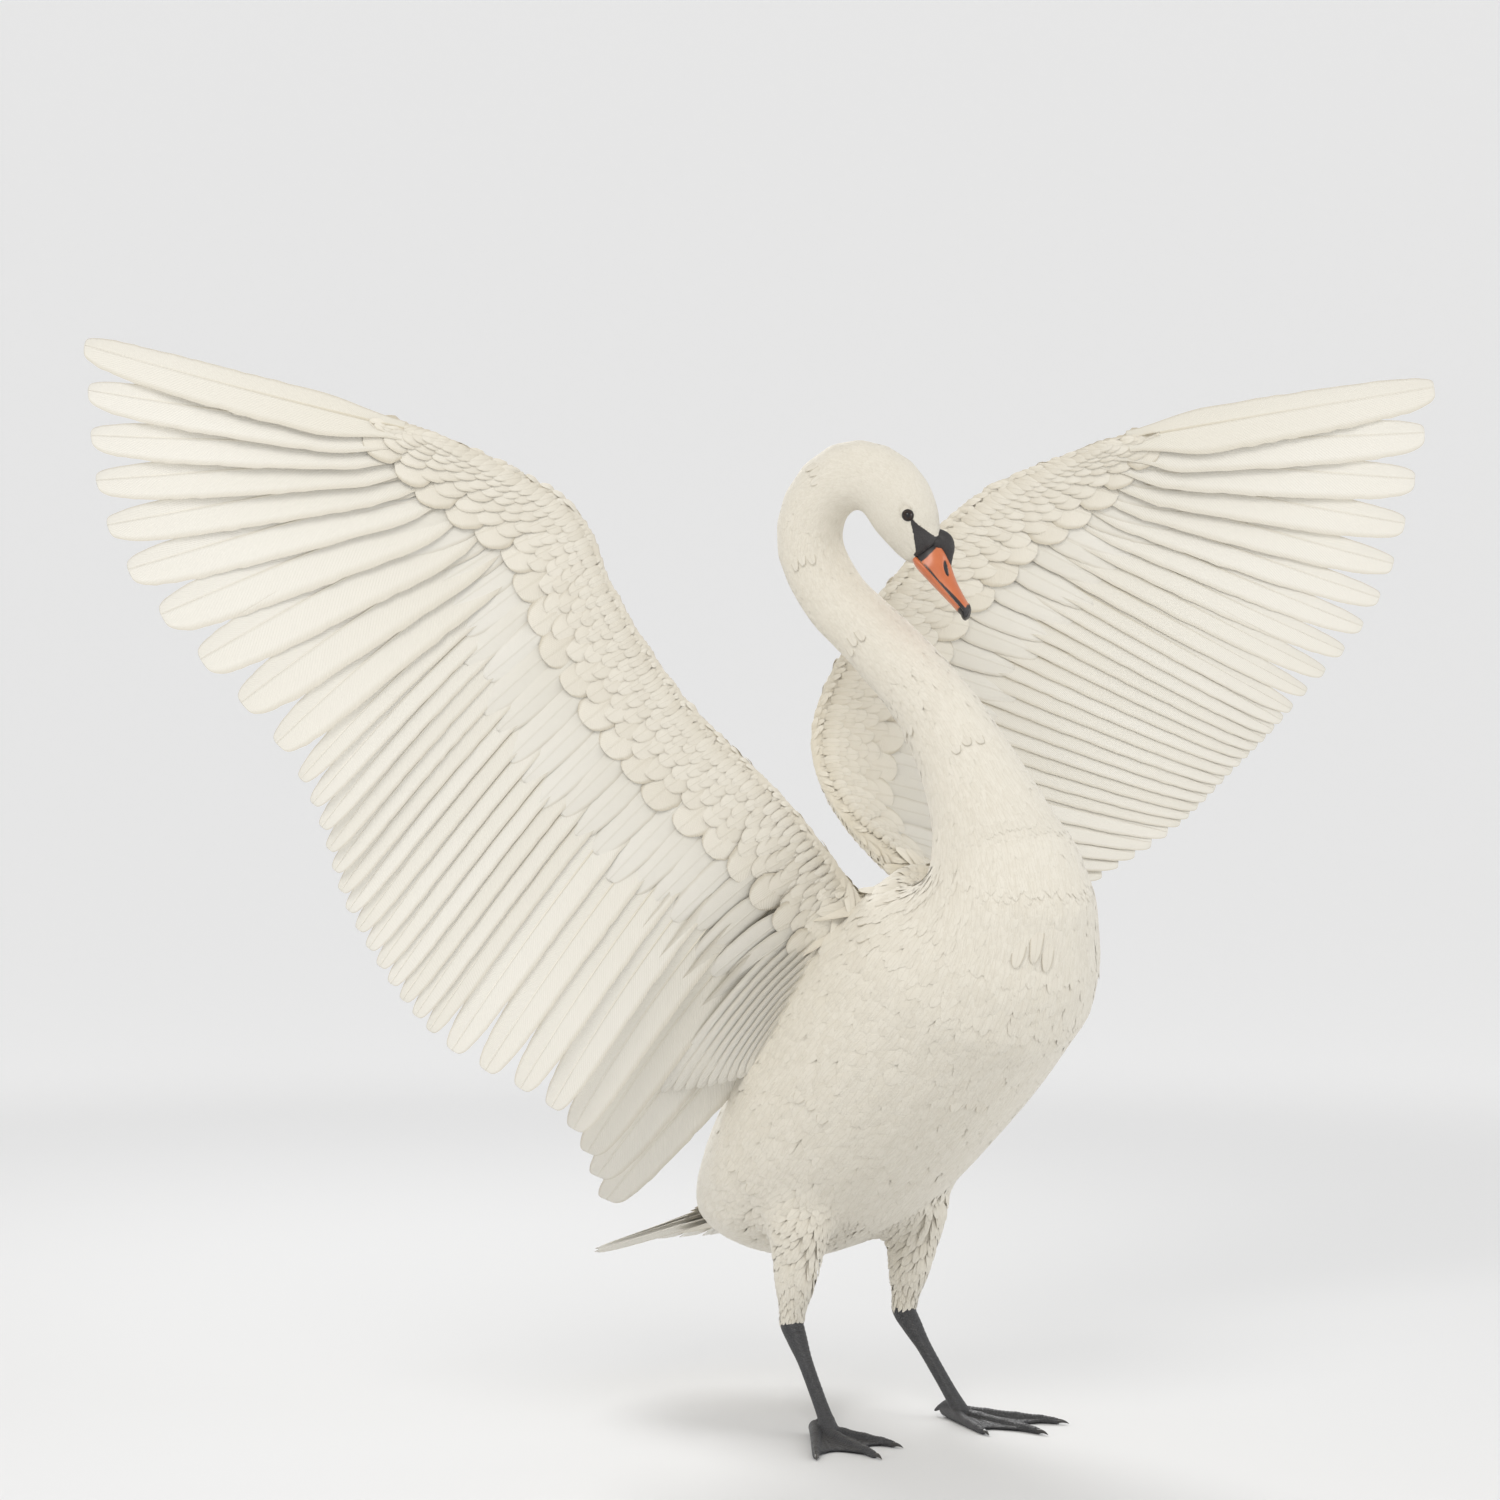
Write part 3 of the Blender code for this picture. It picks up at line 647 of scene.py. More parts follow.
# %% [markdown]
# The bill is horn over bone: an orange sheath with fine streaks, glossier than the fleshy black
# knob above it. An attribute on its mesh holds its black parts: the nail, the cutting edge, the
# nostril and the strip at its base. The knob, the lids and the feet share pebbled skin.

# %% Bill, black skin, eyes, legs and claws
ORANGE_DEEP = (0.54, 0.132, 0.045, 1.0)
ORANGE = (0.70, 0.216, 0.078, 1.0)
ORANGE_STREAK = (0.45, 0.105, 0.042, 1.0)


def bill_finish():
    finish, tree, shader = new_finish("bill horn", 0.36, Coat_Weight=0.25, Coat_Roughness=0.2)
    place = object_place(tree)
    streaks = noise(vectors("MULTIPLY", place, (1.0, 1.0, 0.35)), 260.0, 5.0)
    colour = blend(noise(place, 45.0, 3.0), ORANGE_DEEP, ORANGE)
    colour = blend(times(streaks, 0.30), colour, ORANGE_STREAK)
    black = attribute(tree, "black_face")
    colour = blend(black, colour, BLACK)
    feed(shader, Base_Color=colour)
    rough = blend(black, 0.36, 0.46, "FLOAT")
    feed(shader, Roughness=rough)
    gloss = blend(black, 0.25, 0.06, "FLOAT")
    feed(shader, Coat_Weight=gloss)
    bump(shader, streaks, 0.00025, 0.5)
    return finish


def pebbled_finish(name, dark, light, size, roughness, distance):
    finish, tree, shader = new_finish(name, roughness, Coat_Weight=0.12, Coat_Roughness=0.35)
    height, cracks, mottle = use(tree, PEBBLES, size)
    colour = blend(mottle, dark, light)
    colour = blend(times(cracks, 0.6), colour, (*np.multiply(dark[:3], 0.5), 1.0))
    feed(shader, Base_Color=colour)
    uneven = ramp(mottle, 0.3, 0.7, roughness - 0.08, roughness + 0.12)
    feed(shader, Roughness=uneven)
    bump(shader, height, distance, 0.7)
    return finish


def eye_finish():
    finish, tree, shader = new_finish("dark eye", 0.08, Coat_Weight=0.45, Coat_Roughness=0.02,
                                      Specular_IOR_Level=0.25)
    fibres = noise(object_place(tree), 900.0, 3.0)
    brown = blend(fibres, (0.010, 0.005, 0.003, 1.0), (0.030, 0.013, 0.007, 1.0))
    eye = blend(attribute(tree, "iris"), (0.004, 0.004, 0.005, 1.0), brown)
    feed(shader, Base_Color=eye)
    return finish


def claw_finish():
    finish, tree, shader = new_finish("claw horn", 0.32, Coat_Weight=0.3, Coat_Roughness=0.2)
    grain = noise(object_place(tree), 500.0, 4.0)
    colour = blend(grain, (0.012, 0.011, 0.011, 1.0), (0.06, 0.055, 0.05, 1.0))
    feed(shader, Base_Color=colour)
    bump(shader, grain, 0.0002, 0.5)
    return finish


BILL = bill_finish()
KNOB_SKIN = pebbled_finish("black skin", BLACK, (0.045, 0.040, 0.040, 1.0), 1500.0, 0.46, 0.00012)
LEG_SKIN = pebbled_finish("leg skin", (0.030, 0.030, 0.032, 1.0), (0.085, 0.085, 0.090, 1.0),
                          420.0, 0.50, 0.0005)
EYE = eye_finish()
CLAW = claw_finish()
print("hard finishes ready")

# %% [markdown]
# ## One skin
#
# The CAD model is cut into named lengths. Here their copies are joined and remeshed as one volume,
# so no seam shows. The skin is then drawn in by the depth of the coat, which is deep on the trunk
# and almost nothing on the bare face. The arms are lofted separately, much narrower than their CAD
# solids, because most of the thickness there is coverts.

# %% Copies of CAD nodes, joined and remeshed
def bmesh_of(*nodes):
    """The CAD nodes' triangles as one bmesh with its loose corners merged."""
    work = bmesh.new()
    for node in nodes:
        work.from_mesh(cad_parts[node].data)
    bmesh.ops.remove_doubles(work, verts=work.verts, dist=0.00001)
    return work


def add_ball(work, centre, radius):
    made = bmesh.ops.create_uvsphere(work, u_segments=20, v_segments=12, radius=radius)
    for vertex in made["verts"]:
        vertex.co += Vector(centre)


def loft(name, rings):
    """A closed mesh through rings of equal point count, with end caps."""
    rings = np.asarray(rings, float)
    count, sides = rings.shape[:2]
    order = np.arange(count * sides).reshape(count, sides)
    ahead = np.roll(order, -1, axis=1)
    faces = np.stack([order[:-1], ahead[:-1], ahead[1:], order[1:]], axis=-1)
    faces = faces.reshape(-1, 4).tolist() + [order[0][::-1].tolist(), order[-1].tolist()]
    mesh = bpy.data.meshes.new(name)
    mesh.from_pydata(rings.reshape(-1, 3).tolist(), [], faces)
    work = bmesh.new()
    work.from_mesh(mesh)
    bmesh.ops.recalc_face_normals(work, faces=work.faces)
    work.to_mesh(mesh)
    work.free()
    mesh.shade_smooth()
    mesh.set_sharp_from_angle(angle=CREASE)
    return mesh


def finished(mesh, finish):
    mesh.shade_smooth()
    mesh.materials.append(finish)
    return mesh


def add_limb(work, keys, up=(0.0, 0.0, 1.0), sides=20, count=36):
    """Adds a round limb with closed round ends. Each key: place, radius."""
    places = np.linspace(0, 1, len(keys))
    at = np.linspace(0, 1, count)
    line = smooth(places, np.array([key[0] for key in keys], float), at)
    sizes = smooth(places, np.array([key[1] for key in keys], float), at)
    way = unit(np.gradient(line, axis=0))
    aside = unit(np.cross(way, up))
    third = np.cross(way, aside)
    turn = circle(sides)
    spokes = (np.cos(turn)[None, :, None] * aside[:, None]
              + np.sin(turn)[None, :, None] * third[:, None])
    rings = line[:, None] + sizes[:, None, None] * spokes
    work.from_mesh(loft("limb", rings))
    add_ball(work, line[0], sizes[0])
    add_ball(work, line[-1], sizes[-1])


def mesh_from(work, name="work"):
    made = bpy.data.meshes.new(name)
    work.to_mesh(made)
    work.free()
    return made


def remeshed(mesh, voxel):
    thing = placed("work", mesh)
    change = thing.modifiers.new("one volume", "REMESH")
    change.mode = "VOXEL"
    change.voxel_size = voxel
    return plain_mesh(thing)


def triples(items, field):
    """One vector for each item, as an array."""
    flat = np.empty(len(items) * 3, np.float32)
    items.foreach_get(field, flat)
    return flat.reshape(-1, 3).astype(float)


def points_of(mesh):
    return triples(mesh.vertices, "co")


def normals_of(mesh):
    return triples(mesh.vertex_normals, "vector")


def set_points(mesh, points):
    mesh.vertices.foreach_set("co", points.astype(np.float32).ravel())
    mesh.update()


def relaxed(mesh, values, rounds, shares=(0.5, -0.52)):
    """Evens values out over the mesh. The second, negative share keeps it from shrinking."""
    edges = np.empty(len(mesh.edges) * 2, np.int32)
    mesh.edges.foreach_get("vertices", edges)
    first, second = edges.reshape(-1, 2).T
    total = len(values)
    count = np.bincount(np.append(first, second), minlength=total).clip(1)
    for _ in range(rounds):
        for share in shares:
            mean = np.stack([np.bincount(first, values[second, k], total)
                             + np.bincount(second, values[first, k], total)
                             for k in range(values.shape[1])], axis=1) / count[:, None]
            values = values + share * (mean - values)
    return values


print("skin helpers ready")

# %% [markdown]
# Each point of the skin needs three things: how far along the body's line it is, how far round it,
# and whether it belongs to the body, a wing or a leg. The nearest place on the line gives the first
# two, and the nearest CAD node the third.

# %% Where a point lies on the bird
BLOCK = 4000                 # points compared at once, to spare memory


def nearest_of(points, places):
    nearest = np.empty(len(points), int)
    for start in range(0, len(points), BLOCK):
        gap = np.sum((points[start:start + BLOCK, None] - places[None]) ** 2, axis=2)
        nearest[start:start + BLOCK] = np.argmin(gap, axis=1)
    return nearest


def along_body(points, count=420):
    """Distance along the body's line, and angle round it from the back, of each point."""
    reach = np.linspace(0.0, HEAD_END, count)
    centre, _, back, left = spine_frame(reach)
    nearest = nearest_of(points, centre)
    away = points - centre[nearest]
    angle = np.arctan2(np.sum(away * left[nearest], 1), np.sum(away * back[nearest], 1))
    return reach[nearest], angle


def along_wing(wing, points, count=121):
    """Place along the arm and chord of each point near the arm."""
    out = np.linspace(0.0, HAND_END, count)
    chords = np.linspace(0.0, 0.3, 16)
    grid = wing_point(wing, out[:, None], chords[None]).reshape(-1, 3)
    nearest = nearest_of(points, grid)
    return out[nearest // len(chords)], chords[nearest % len(chords)]


FACE_CENTRE, FACE_AHEAD, FACE_UP, FACE_LEFT = (np.asarray(v) for v in spine_frame(HEAD_END))


def in_face(points):
    """Points in the face's own frame: ahead, to the left and up from the middle of its edge."""
    away = points - FACE_CENTRE
    return away @ FACE_AHEAD, away @ FACE_LEFT, away @ FACE_UP


def from_face(ahead, left, up):
    return (FACE_CENTRE + np.multiply.outer(np.asarray(ahead, float), FACE_AHEAD)
            + np.multiply.outer(np.asarray(left, float), FACE_LEFT)
            + np.multiply.outer(np.asarray(up, float), FACE_UP))


EYE_AHEAD, _, EYE_UP = (float(v) for v in in_face(EYES["right"]))
eye_low, eye_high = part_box("eye_right")
EYE_RADIUS = float((eye_high - eye_low).length / 2 / sqrt(3))
print("eye: %.1f mm behind the face's edge, %.1f mm above its middle, radius %.1f mm"
      % (-EYE_AHEAD * 1000, EYE_UP * 1000, EYE_RADIUS * 1000))

# %% [markdown]
# The lores, the bare black skin of a swan's face, run from the base of the bill back to a point at
# the front corner of the eye. One function says where they are, for the skin and for the coat.

# %% The bare black face
LORE_HALF = 0.0165           # half its height at the bill
LORE_POINT = 0.0012          # half its height at the eye
LORE_MIDDLE = 0.0015
EYE_CORNER = 0.0050          # the front corner of the lids, ahead of the eye's centre


def black_face(points, softness=0.0007):
    ahead, _, up = in_face(points)
    back_end = EYE_AHEAD + EYE_CORNER
    share = np.clip(ahead / back_end, 0.0, 1.0)
    middle = LORE_MIDDLE + (EYE_UP - LORE_MIDDLE) * share
    half = LORE_POINT + (LORE_HALF - LORE_POINT) * (1 - share) ** 1.25
    inside = rise_between(-softness, softness, half - np.abs(up - middle))
    reach = rise_between(back_end - 0.001, back_end + 0.001, ahead)
    strip = rise_between(-0.0062, -0.0046, ahead) * rise_between(-0.0170, -0.0140, up)
    near = (np.abs(ahead) < 0.06) & (np.linalg.norm(points - FACE_CENTRE, axis=1) < 0.07)
    return np.where(near, np.maximum(inside * reach, strip), 0.0)


print("lores: %.0f mm high at the bill" % (LORE_HALF * 2000))

# %% [markdown]
# What looks like a bird's knee that bends backwards is its ankle, and the knee is hidden in the
# belly feathers. Three points fix each leg: the knee, the ankle, and the heel on the floor. One
# function mirrors those of the left leg for the right one.

# %% The joints of the legs
ANKLE = np.array((0.082, 0.100, 0.118))
KNEE = np.array((0.086, 0.068, 0.310))
HEEL = np.array((0.095, 0.034, 0.0))
INSTEP = np.array((0.0, -0.027, 0.0105))
LEG_SIDES = {"right": -1, "left": 1}


def leg_point(side, place):
    return np.asarray(place, float) * (side, 1, 1) + SHIFT


print("ankles %.0f mm above the floor" % (ANKLE[2] * 1000))

# %% [markdown]
# The flesh of the body could be lofted again from the stations, but the CAD nodes already have the
# right outline. So their copies are joined, with round shins and a ball behind each eye, and every
# point is moved inwards by the depth of the coat that will grow there.

# %% Body volume, drawn in by the depth of the coat
REACH_KEYS = (0.0, 0.10, 0.30, 0.62, 0.75, 0.90, 1.15, HEAD_START, HEAD_END - 0.05, HEAD_END - 0.02,
              HEAD_END)
COAT_DEPTH = (0.006, 0.009, 0.010, 0.010, 0.008, 0.0055, 0.0045, 0.0030, 0.0018, 0.0008, 0.0003)
BODY_NODES = ("trunk", "neck_lower", "neck_middle", "neck_upper", "head",
              "leg_right_thigh", "leg_left_thigh")
body_work = bmesh_of(*BODY_NODES)
for side, centre in EYES.items():
    add_ball(body_work, centre - (centre - EYES["left" if side == "right" else "right"]) * 0.02,
             EYE_RADIUS)
for side in LEG_SIDES.values():
    shin = unit(KNEE - ANKLE)
    add_limb(body_work, [(leg_point(side, ANKLE + shin * rise), size) for rise, size in
                         ((0.060, 0.024), (0.035, 0.0185), (0.015, 0.0165), (0.002, 0.0155))],
             (0.0, 1.0, 0.0))
body = remeshed(mesh_from(body_work), 0.0042)
body_points = relaxed(body, points_of(body), 6)
softer = relaxed(body, body_points, 30, (0.5,))
crease = (rise_between(0.34, 0.28, body_points[:, 2]) * rise_between(0.17, 0.20, body_points[:, 2]))
body_points = body_points + (softer - body_points) * crease[:, None]
set_points(body, body_points)
reach, _ = along_body(body_points)
depth = smooth(REACH_KEYS, COAT_DEPTH, reach)
on_leg = rise_between(0.26, 0.23, body_points[:, 2])
shin_depth = 0.0015 + 0.0040 * rise_between(0.135, 0.19, body_points[:, 2])
depth = depth + (np.minimum(depth, shin_depth) - depth) * on_leg
set_points(body, body_points - normals_of(body) * depth[:, None])
print("body skin: %d points, trunk coat %.0f mm deep" % (len(body_points), COAT_DEPTH[3] * 1000))

# %% [markdown]
# A plucked wing is thin: bones, a little muscle, and a fold of skin in front of the elbow. Each arm
# is lofted through rings that follow the wing's surface, so it always lies inside its coverts. Body
# and arms then become one skin, with soft hollows where they meet.

# %% Narrow arms, lofted inside their coverts
ARM_SHARE = 0.19             # share of the chord that has flesh in it
COVERT_DEPTH = 0.0040        # from the coverts in to the skin
LEAST_HALF = 0.0032          # half the thinnest arm


def arm_mesh(wing):
    rings = []
    for out in np.linspace(0.05, HAND_END - 0.05, 60):
        ring = []
        for turn in circle(16):
            chord = ARM_SHARE * (0.5 - 0.5 * cos(turn)) + 0.006
            half = max(float(wing_half(out, chord)) - COVERT_DEPTH, LEAST_HALF)
            half = half * abs(sin(turn)) ** 0.6 * (1 if sin(turn) > 0 else -1)
            middle = wing_point(wing, out, chord)
            ring.append(middle + wing_back(wing, out) * half)
        rings.append(ring)
    return loft("arm", rings)


skin_work = bmesh.new()
skin_work.from_mesh(body)
for wing in WINGS.values():
    skin_work.from_mesh(arm_mesh(wing))
skin = remeshed(mesh_from(skin_work), 0.0050)
set_points(skin, relaxed(skin, points_of(skin), 4))
print("whole skin: %d points" % len(skin.vertices))

# %% [markdown]
# The face needs finer skin than the rest. Only its faces are subdivided, and then moved a little: a
# low brow over the eye, a hollow in front of it, a fuller cheek, and a crease that carries the line
# of the mouth into the cheek.

# %% Finer skin on the face, with its folds
FACE_REACH, FACE_FULL = 0.0585, 0.0468      # how far the finer skin runs, and where it is whole
work = bmesh.new()
work.from_mesh(skin)
focus = Vector(from_face(-0.028, 0.0, 0.002))
near = [edge for edge in work.edges
        if all((vertex.co - focus).length < FACE_REACH for vertex in edge.verts)]
bmesh.ops.subdivide_edges(work, edges=near, cuts=2, use_grid_fill=True)
skin = mesh_from(work, "skin")
skin_points = points_of(skin)
evened = relaxed(skin, skin_points, 5)
face_share = rise_between(FACE_REACH, FACE_FULL,
                          np.linalg.norm(skin_points - np.array(focus), axis=1))
skin_points = skin_points + (evened - skin_points) * face_share[:, None]
set_points(skin, skin_points)


# Each fold: how far it stands out, place ahead and up, half width and half height.
FOLDS = {
    "brow": (0.0011, EYE_AHEAD + 0.001, EYE_UP + 0.0105, 0.010, 0.0035),
    "hollow": (-0.0010, EYE_AHEAD + 0.016, EYE_UP - 0.003, 0.009, 0.006),
    "cheek": (0.0012, EYE_AHEAD - 0.004, EYE_UP - 0.020, 0.015, 0.010),
    "crease": (-0.0009, -0.006, -0.0140, 0.012, 0.0014),
}
ahead, left, up = in_face(skin_points)
side = rise_between(0.006, 0.014, np.abs(left)) * (np.linalg.norm(
    skin_points - FACE_CENTRE, axis=1) < 0.09)
push = sum(out * np.exp(-((ahead - at_ahead) / wide) ** 2 - ((up - at_up) / tall) ** 2)
           for out, at_ahead, at_up, wide, tall in FOLDS.values())
set_points(skin, skin_points + normals_of(skin) * (push * side)[:, None])
skin_points = points_of(skin)
print("skin with a fine face: %d points" % len(skin_points))

# %% [markdown]
# Now the skin learns what grows on it. Each point gets the lie, length and lift of its feathers,
# the cover of each coat, the black of the face, and its place on an unwrap: the body unrolled along
# its line, with each arm and the legs in strips above it.

# %% Which part each point of skin belongs to
BODY, LEG, ARM_RIGHT, ARM_LEFT = range(4)
ARMS = (("right", ARM_RIGHT), ("left", ARM_LEFT))
# The widest that the body is at each station, from its line to its skin.
WIDTHS = (0.050, 0.100, 0.150, 0.175, 0.180, 0.175, 0.160, 0.115, 0.085, 0.068, 0.055, 0.05, 0.05,
          0.05, 0.05, 0.055, 0.055, 0.05, 0.05, 0.05)
NEAR = 0.004
HIP_HEIGHT = 0.30            # the legs leave the body below this
reach, angle = along_body(skin_points)
from_spine = np.linalg.norm(skin_points - smooth(REACH, CENTRES, reach), axis=1)
on_body = from_spine < smooth(REACH, WIDTHS, reach) + NEAR
part = np.full(len(skin_points), BODY)
part[(skin_points[:, 2] < HIP_HEIGHT) & ~on_body] = LEG
wing_out = np.zeros(len(skin_points))
wing_chord = np.zeros(len(skin_points))
for name, label in ARMS:
    out, chord = along_wing(WINGS[name], skin_points)
    away = np.linalg.norm(skin_points - wing_point(WINGS[name], out, chord), axis=1)
    mine = (away < wing_half(out, 0.06) + NEAR) & ~on_body & (part == BODY)
    part[mine] = label
    wing_out[mine] = out[mine]
    wing_chord[mine] = chord[mine]
print("points on body, legs, right arm, left arm:", np.bincount(part))

# %% [markdown]
# Plumage lies backwards along the body, down the legs and outwards along the arms, so that air and
# water run off it. Its feathers are longest on the trunk and shortest on the face. All this is
# worked out for every point and then evened out, so no border shows.

# %% Lie, length and lift of the feathers
skin_normals = normals_of(skin)
_, spine_ahead, _, _ = spine_frame(reach)
lie = -spine_ahead
lie[part == LEG] = unit(ANKLE - KNEE)
for name, label in ARMS:
    mine = part == label
    wing = WINGS[name]
    chordwise = wing_point(wing, wing_out[mine], 0.5) - wing_point(wing, wing_out[mine], 0.02)
    outwards = smooth(PLACES, wing["lead"], np.minimum(wing_out[mine] + 0.2, HAND_END))
    outwards = outwards - smooth(PLACES, wing["lead"], wing_out[mine] - 0.2)
    lie[mine] = unit(unit(chordwise) + 0.35 * unit(outwards))
lie = relaxed(skin, lie, 24, (0.6, 0.6))
lie = unit(lie - skin_normals * np.sum(lie * skin_normals, axis=1)[:, None])

FEATHER_LENGTH = (0.050, 0.050, 0.048, 0.046, 0.040, 0.027, 0.020, 0.0135, 0.0085, 0.0055, 0.0045)
length = smooth(REACH_KEYS, FEATHER_LENGTH, reach)
upper_side = rise_between(0.2, 0.8, np.cos(angle)) * rise_between(0.55, 0.35, reach)
length = length * (1 + 0.35 * upper_side)
shin_share = rise_between(0.13, 0.23, skin_points[:, 2])
length[part == LEG] = (0.012 + 0.020 * shin_share)[part == LEG]
arms = part >= ARM_RIGHT
from_edge = rise_between(0.0, 0.08, wing_chord[arms])
length[arms] = 0.015 + 0.012 * from_edge
near_leg = np.zeros(len(skin_points))
for side in LEG_SIDES.values():
    gap = np.linalg.norm(skin_points[:, :2] - leg_point(side, (KNEE + ANKLE) / 2)[:2], axis=1)
    near_leg = np.maximum(near_leg, rise_between(0.100, 0.065, gap))
near_leg *= rise_between(HIP_HEIGHT, 0.24, skin_points[:, 2]) * (part == BODY)
length = length * (1 - 0.52 * near_leg)
lift = smooth(REACH_KEYS, COAT_DEPTH, reach) * (0.80 - 0.15 * rise_between(0.7, 1.2, reach))
lift = lift * (1 - 0.5 * near_leg)
lift[part == LEG] = (0.0014 + 0.0024 * shin_share)[part == LEG]
lift[arms] = 0.0018 + 0.0016 * from_edge
values = relaxed(skin, np.stack([length, lift], axis=1), 10, (0.6, 0.6))
length, lift = values.T
black = black_face(skin_points)
print("feathers from %.0f to %.0f mm long" % (length.min() * 1000, length.max() * 1000))

# %% [markdown]
# One coat for the whole bird would need as many triangles on the belly as on the face. So nine
# coats share the skin, each with feathers of its own size. Their borders overlap a little and run
# unevenly, so they don't show. No feather grows on the lores or right at the eyes.

# %% The covers of the coats
from_eye = np.min([np.linalg.norm(skin_points - eye, axis=1) for eye in EYES.values()], axis=0)
bare = np.maximum(black, rise_between(0.0092, 0.0082, from_eye))
grown_skin = np.clip(1 - 2.2 * bare, 0.0, 1.0)
on_spine = part == BODY
# Where along the body's line the coats begin.
FACE_COAT_START = HEAD_START + 0.045
CROWN_COAT_START = HEAD_START - 0.055
NECK_COAT_MIDDLE = REACH[11] - 0.03
BREAST_COAT_START = 0.40
uneven = reach + 0.010 * np.sin(5 * angle) * rise_between(1.0, 0.7, reach)

def stretch(low, high):
    return on_spine & (uneven > low) & (uneven <= high)


trunk = stretch(-1.0, BREAST_COAT_START + 0.006)
COVERS = {
    "face": stretch(FACE_COAT_START, HEAD_END + 1.0),
    "crown": stretch(CROWN_COAT_START, FACE_COAT_START + 0.003),
    "neck_upper": stretch(NECK_COAT_MIDDLE, CROWN_COAT_START + 0.003),
    "neck_lower": stretch(NECK_START - 0.01, NECK_COAT_MIDDLE + 0.004),
    "breast": stretch(BREAST_COAT_START, NECK_START - 0.004),
    "belly": trunk & (np.cos(angle) <= 0.1),
    "back": trunk & (np.cos(angle) > 0.02),
    "thighs": part == LEG,
    "arms": arms & (wing_chord < 0.17),
}
for name, cover in COVERS.items():
    print("%-12s covers %6d points" % (name, cover.sum()))

# %% [markdown]
# The unwrap is one map of the whole skin, with no part over another. A face across the line where
# the body is cut open would stretch over the whole map, so its corners are set to one side.

# %% An unwrap of the skin
SEAM_GAPS = (0.5, 0.08)      # a face wider or taller than this crosses a cut


def body_uv(reach, angle):
    return (angle / (2 * pi) + 0.5) * 0.98 + 0.01, 0.01 + 0.72 * reach / HEAD_END


def arm_uv(wing, out, depth, above):
    """The arms' strips: outwards along the arm, and by a depth up or down from the leading edge."""
    low = 0.01 if wing["side"] < 0 else 0.51
    return low + 0.47 * out / HAND_END, 0.90 + np.where(above, 1, -1) * (0.003 + depth)


def unwrapped(mesh):
    u, v = body_uv(reach, angle)
    legs = part == LEG
    turn = np.arctan2(skin_points[:, 1] - SHIFT[1], np.abs(skin_points[:, 0] - SHIFT[0]) - 0.085)
    u[legs] = 0.01 + 0.48 * (turn[legs] / (2 * pi) + 0.5)
    u[legs & (skin_points[:, 0] > SHIFT[0])] += 0.5
    v[legs] = 0.75 + 0.05 * np.clip((skin_points[legs, 2] - 0.10) / 0.2, 0, 1)
    for name, label in ARMS:
        mine = part == label
        wing, out, chord = WINGS[name], wing_out[mine], wing_chord[mine]
        away = skin_points[mine] - wing_point(wing, out, chord)
        above = np.sum(away * wing_back(wing, out), axis=1) > 0
        u[mine], v[mine] = arm_uv(wing, out, 0.28 * chord, above)
    corner = np.empty(len(mesh.loops), np.int32)
    mesh.loops.foreach_get("vertex_index", corner)
    starts = np.empty(len(mesh.polygons), np.int32)
    mesh.polygons.foreach_get("loop_start", starts)
    placed = np.stack([u[corner], v[corner]], axis=1)
    face_of = np.repeat(np.arange(len(starts)), np.diff(np.append(starts, len(corner))))
    for k in (0, 1):
        low = np.minimum.reduceat(placed[:, k], starts)[face_of]
        high = np.maximum.reduceat(placed[:, k], starts)[face_of]
        crossing = (high - low > SEAM_GAPS[k]) & (placed[:, k] < (low + high) / 2)
        placed[crossing, k] = high[crossing]
    return np.clip(placed, 0.002, 0.998)


layer = skin.uv_layers.new(name="unwrap")
layer.data.foreach_set("uv", unwrapped(skin).astype(np.float32).ravel())
store(skin, "lie", "FLOAT_VECTOR", lie)
store(skin, "feather_length", "FLOAT", length)
store(skin, "lift", "FLOAT", lift)
store(skin, "black_face", "FLOAT", black)
store(skin, "cover", "FLOAT", np.zeros(len(skin_points)))
print("skin carries:", [a.name for a in skin.attributes if not a.name.startswith(".")])

# %% [markdown]
# ## A coat scattered on the skin
#
# Small feathers are countless, and only need to be evenly spaced. So this tree scatters root points
# on the skin that a coat covers, no two nearer than the spacing. Each root then feels its way along
# the lie of its feathers: half a feather and a whole feather further on, it looks for the nearest
# skin, and stands its shaft that little above it. So every vane follows the body's curve, and its
# tip lies over the next ones like a tile.

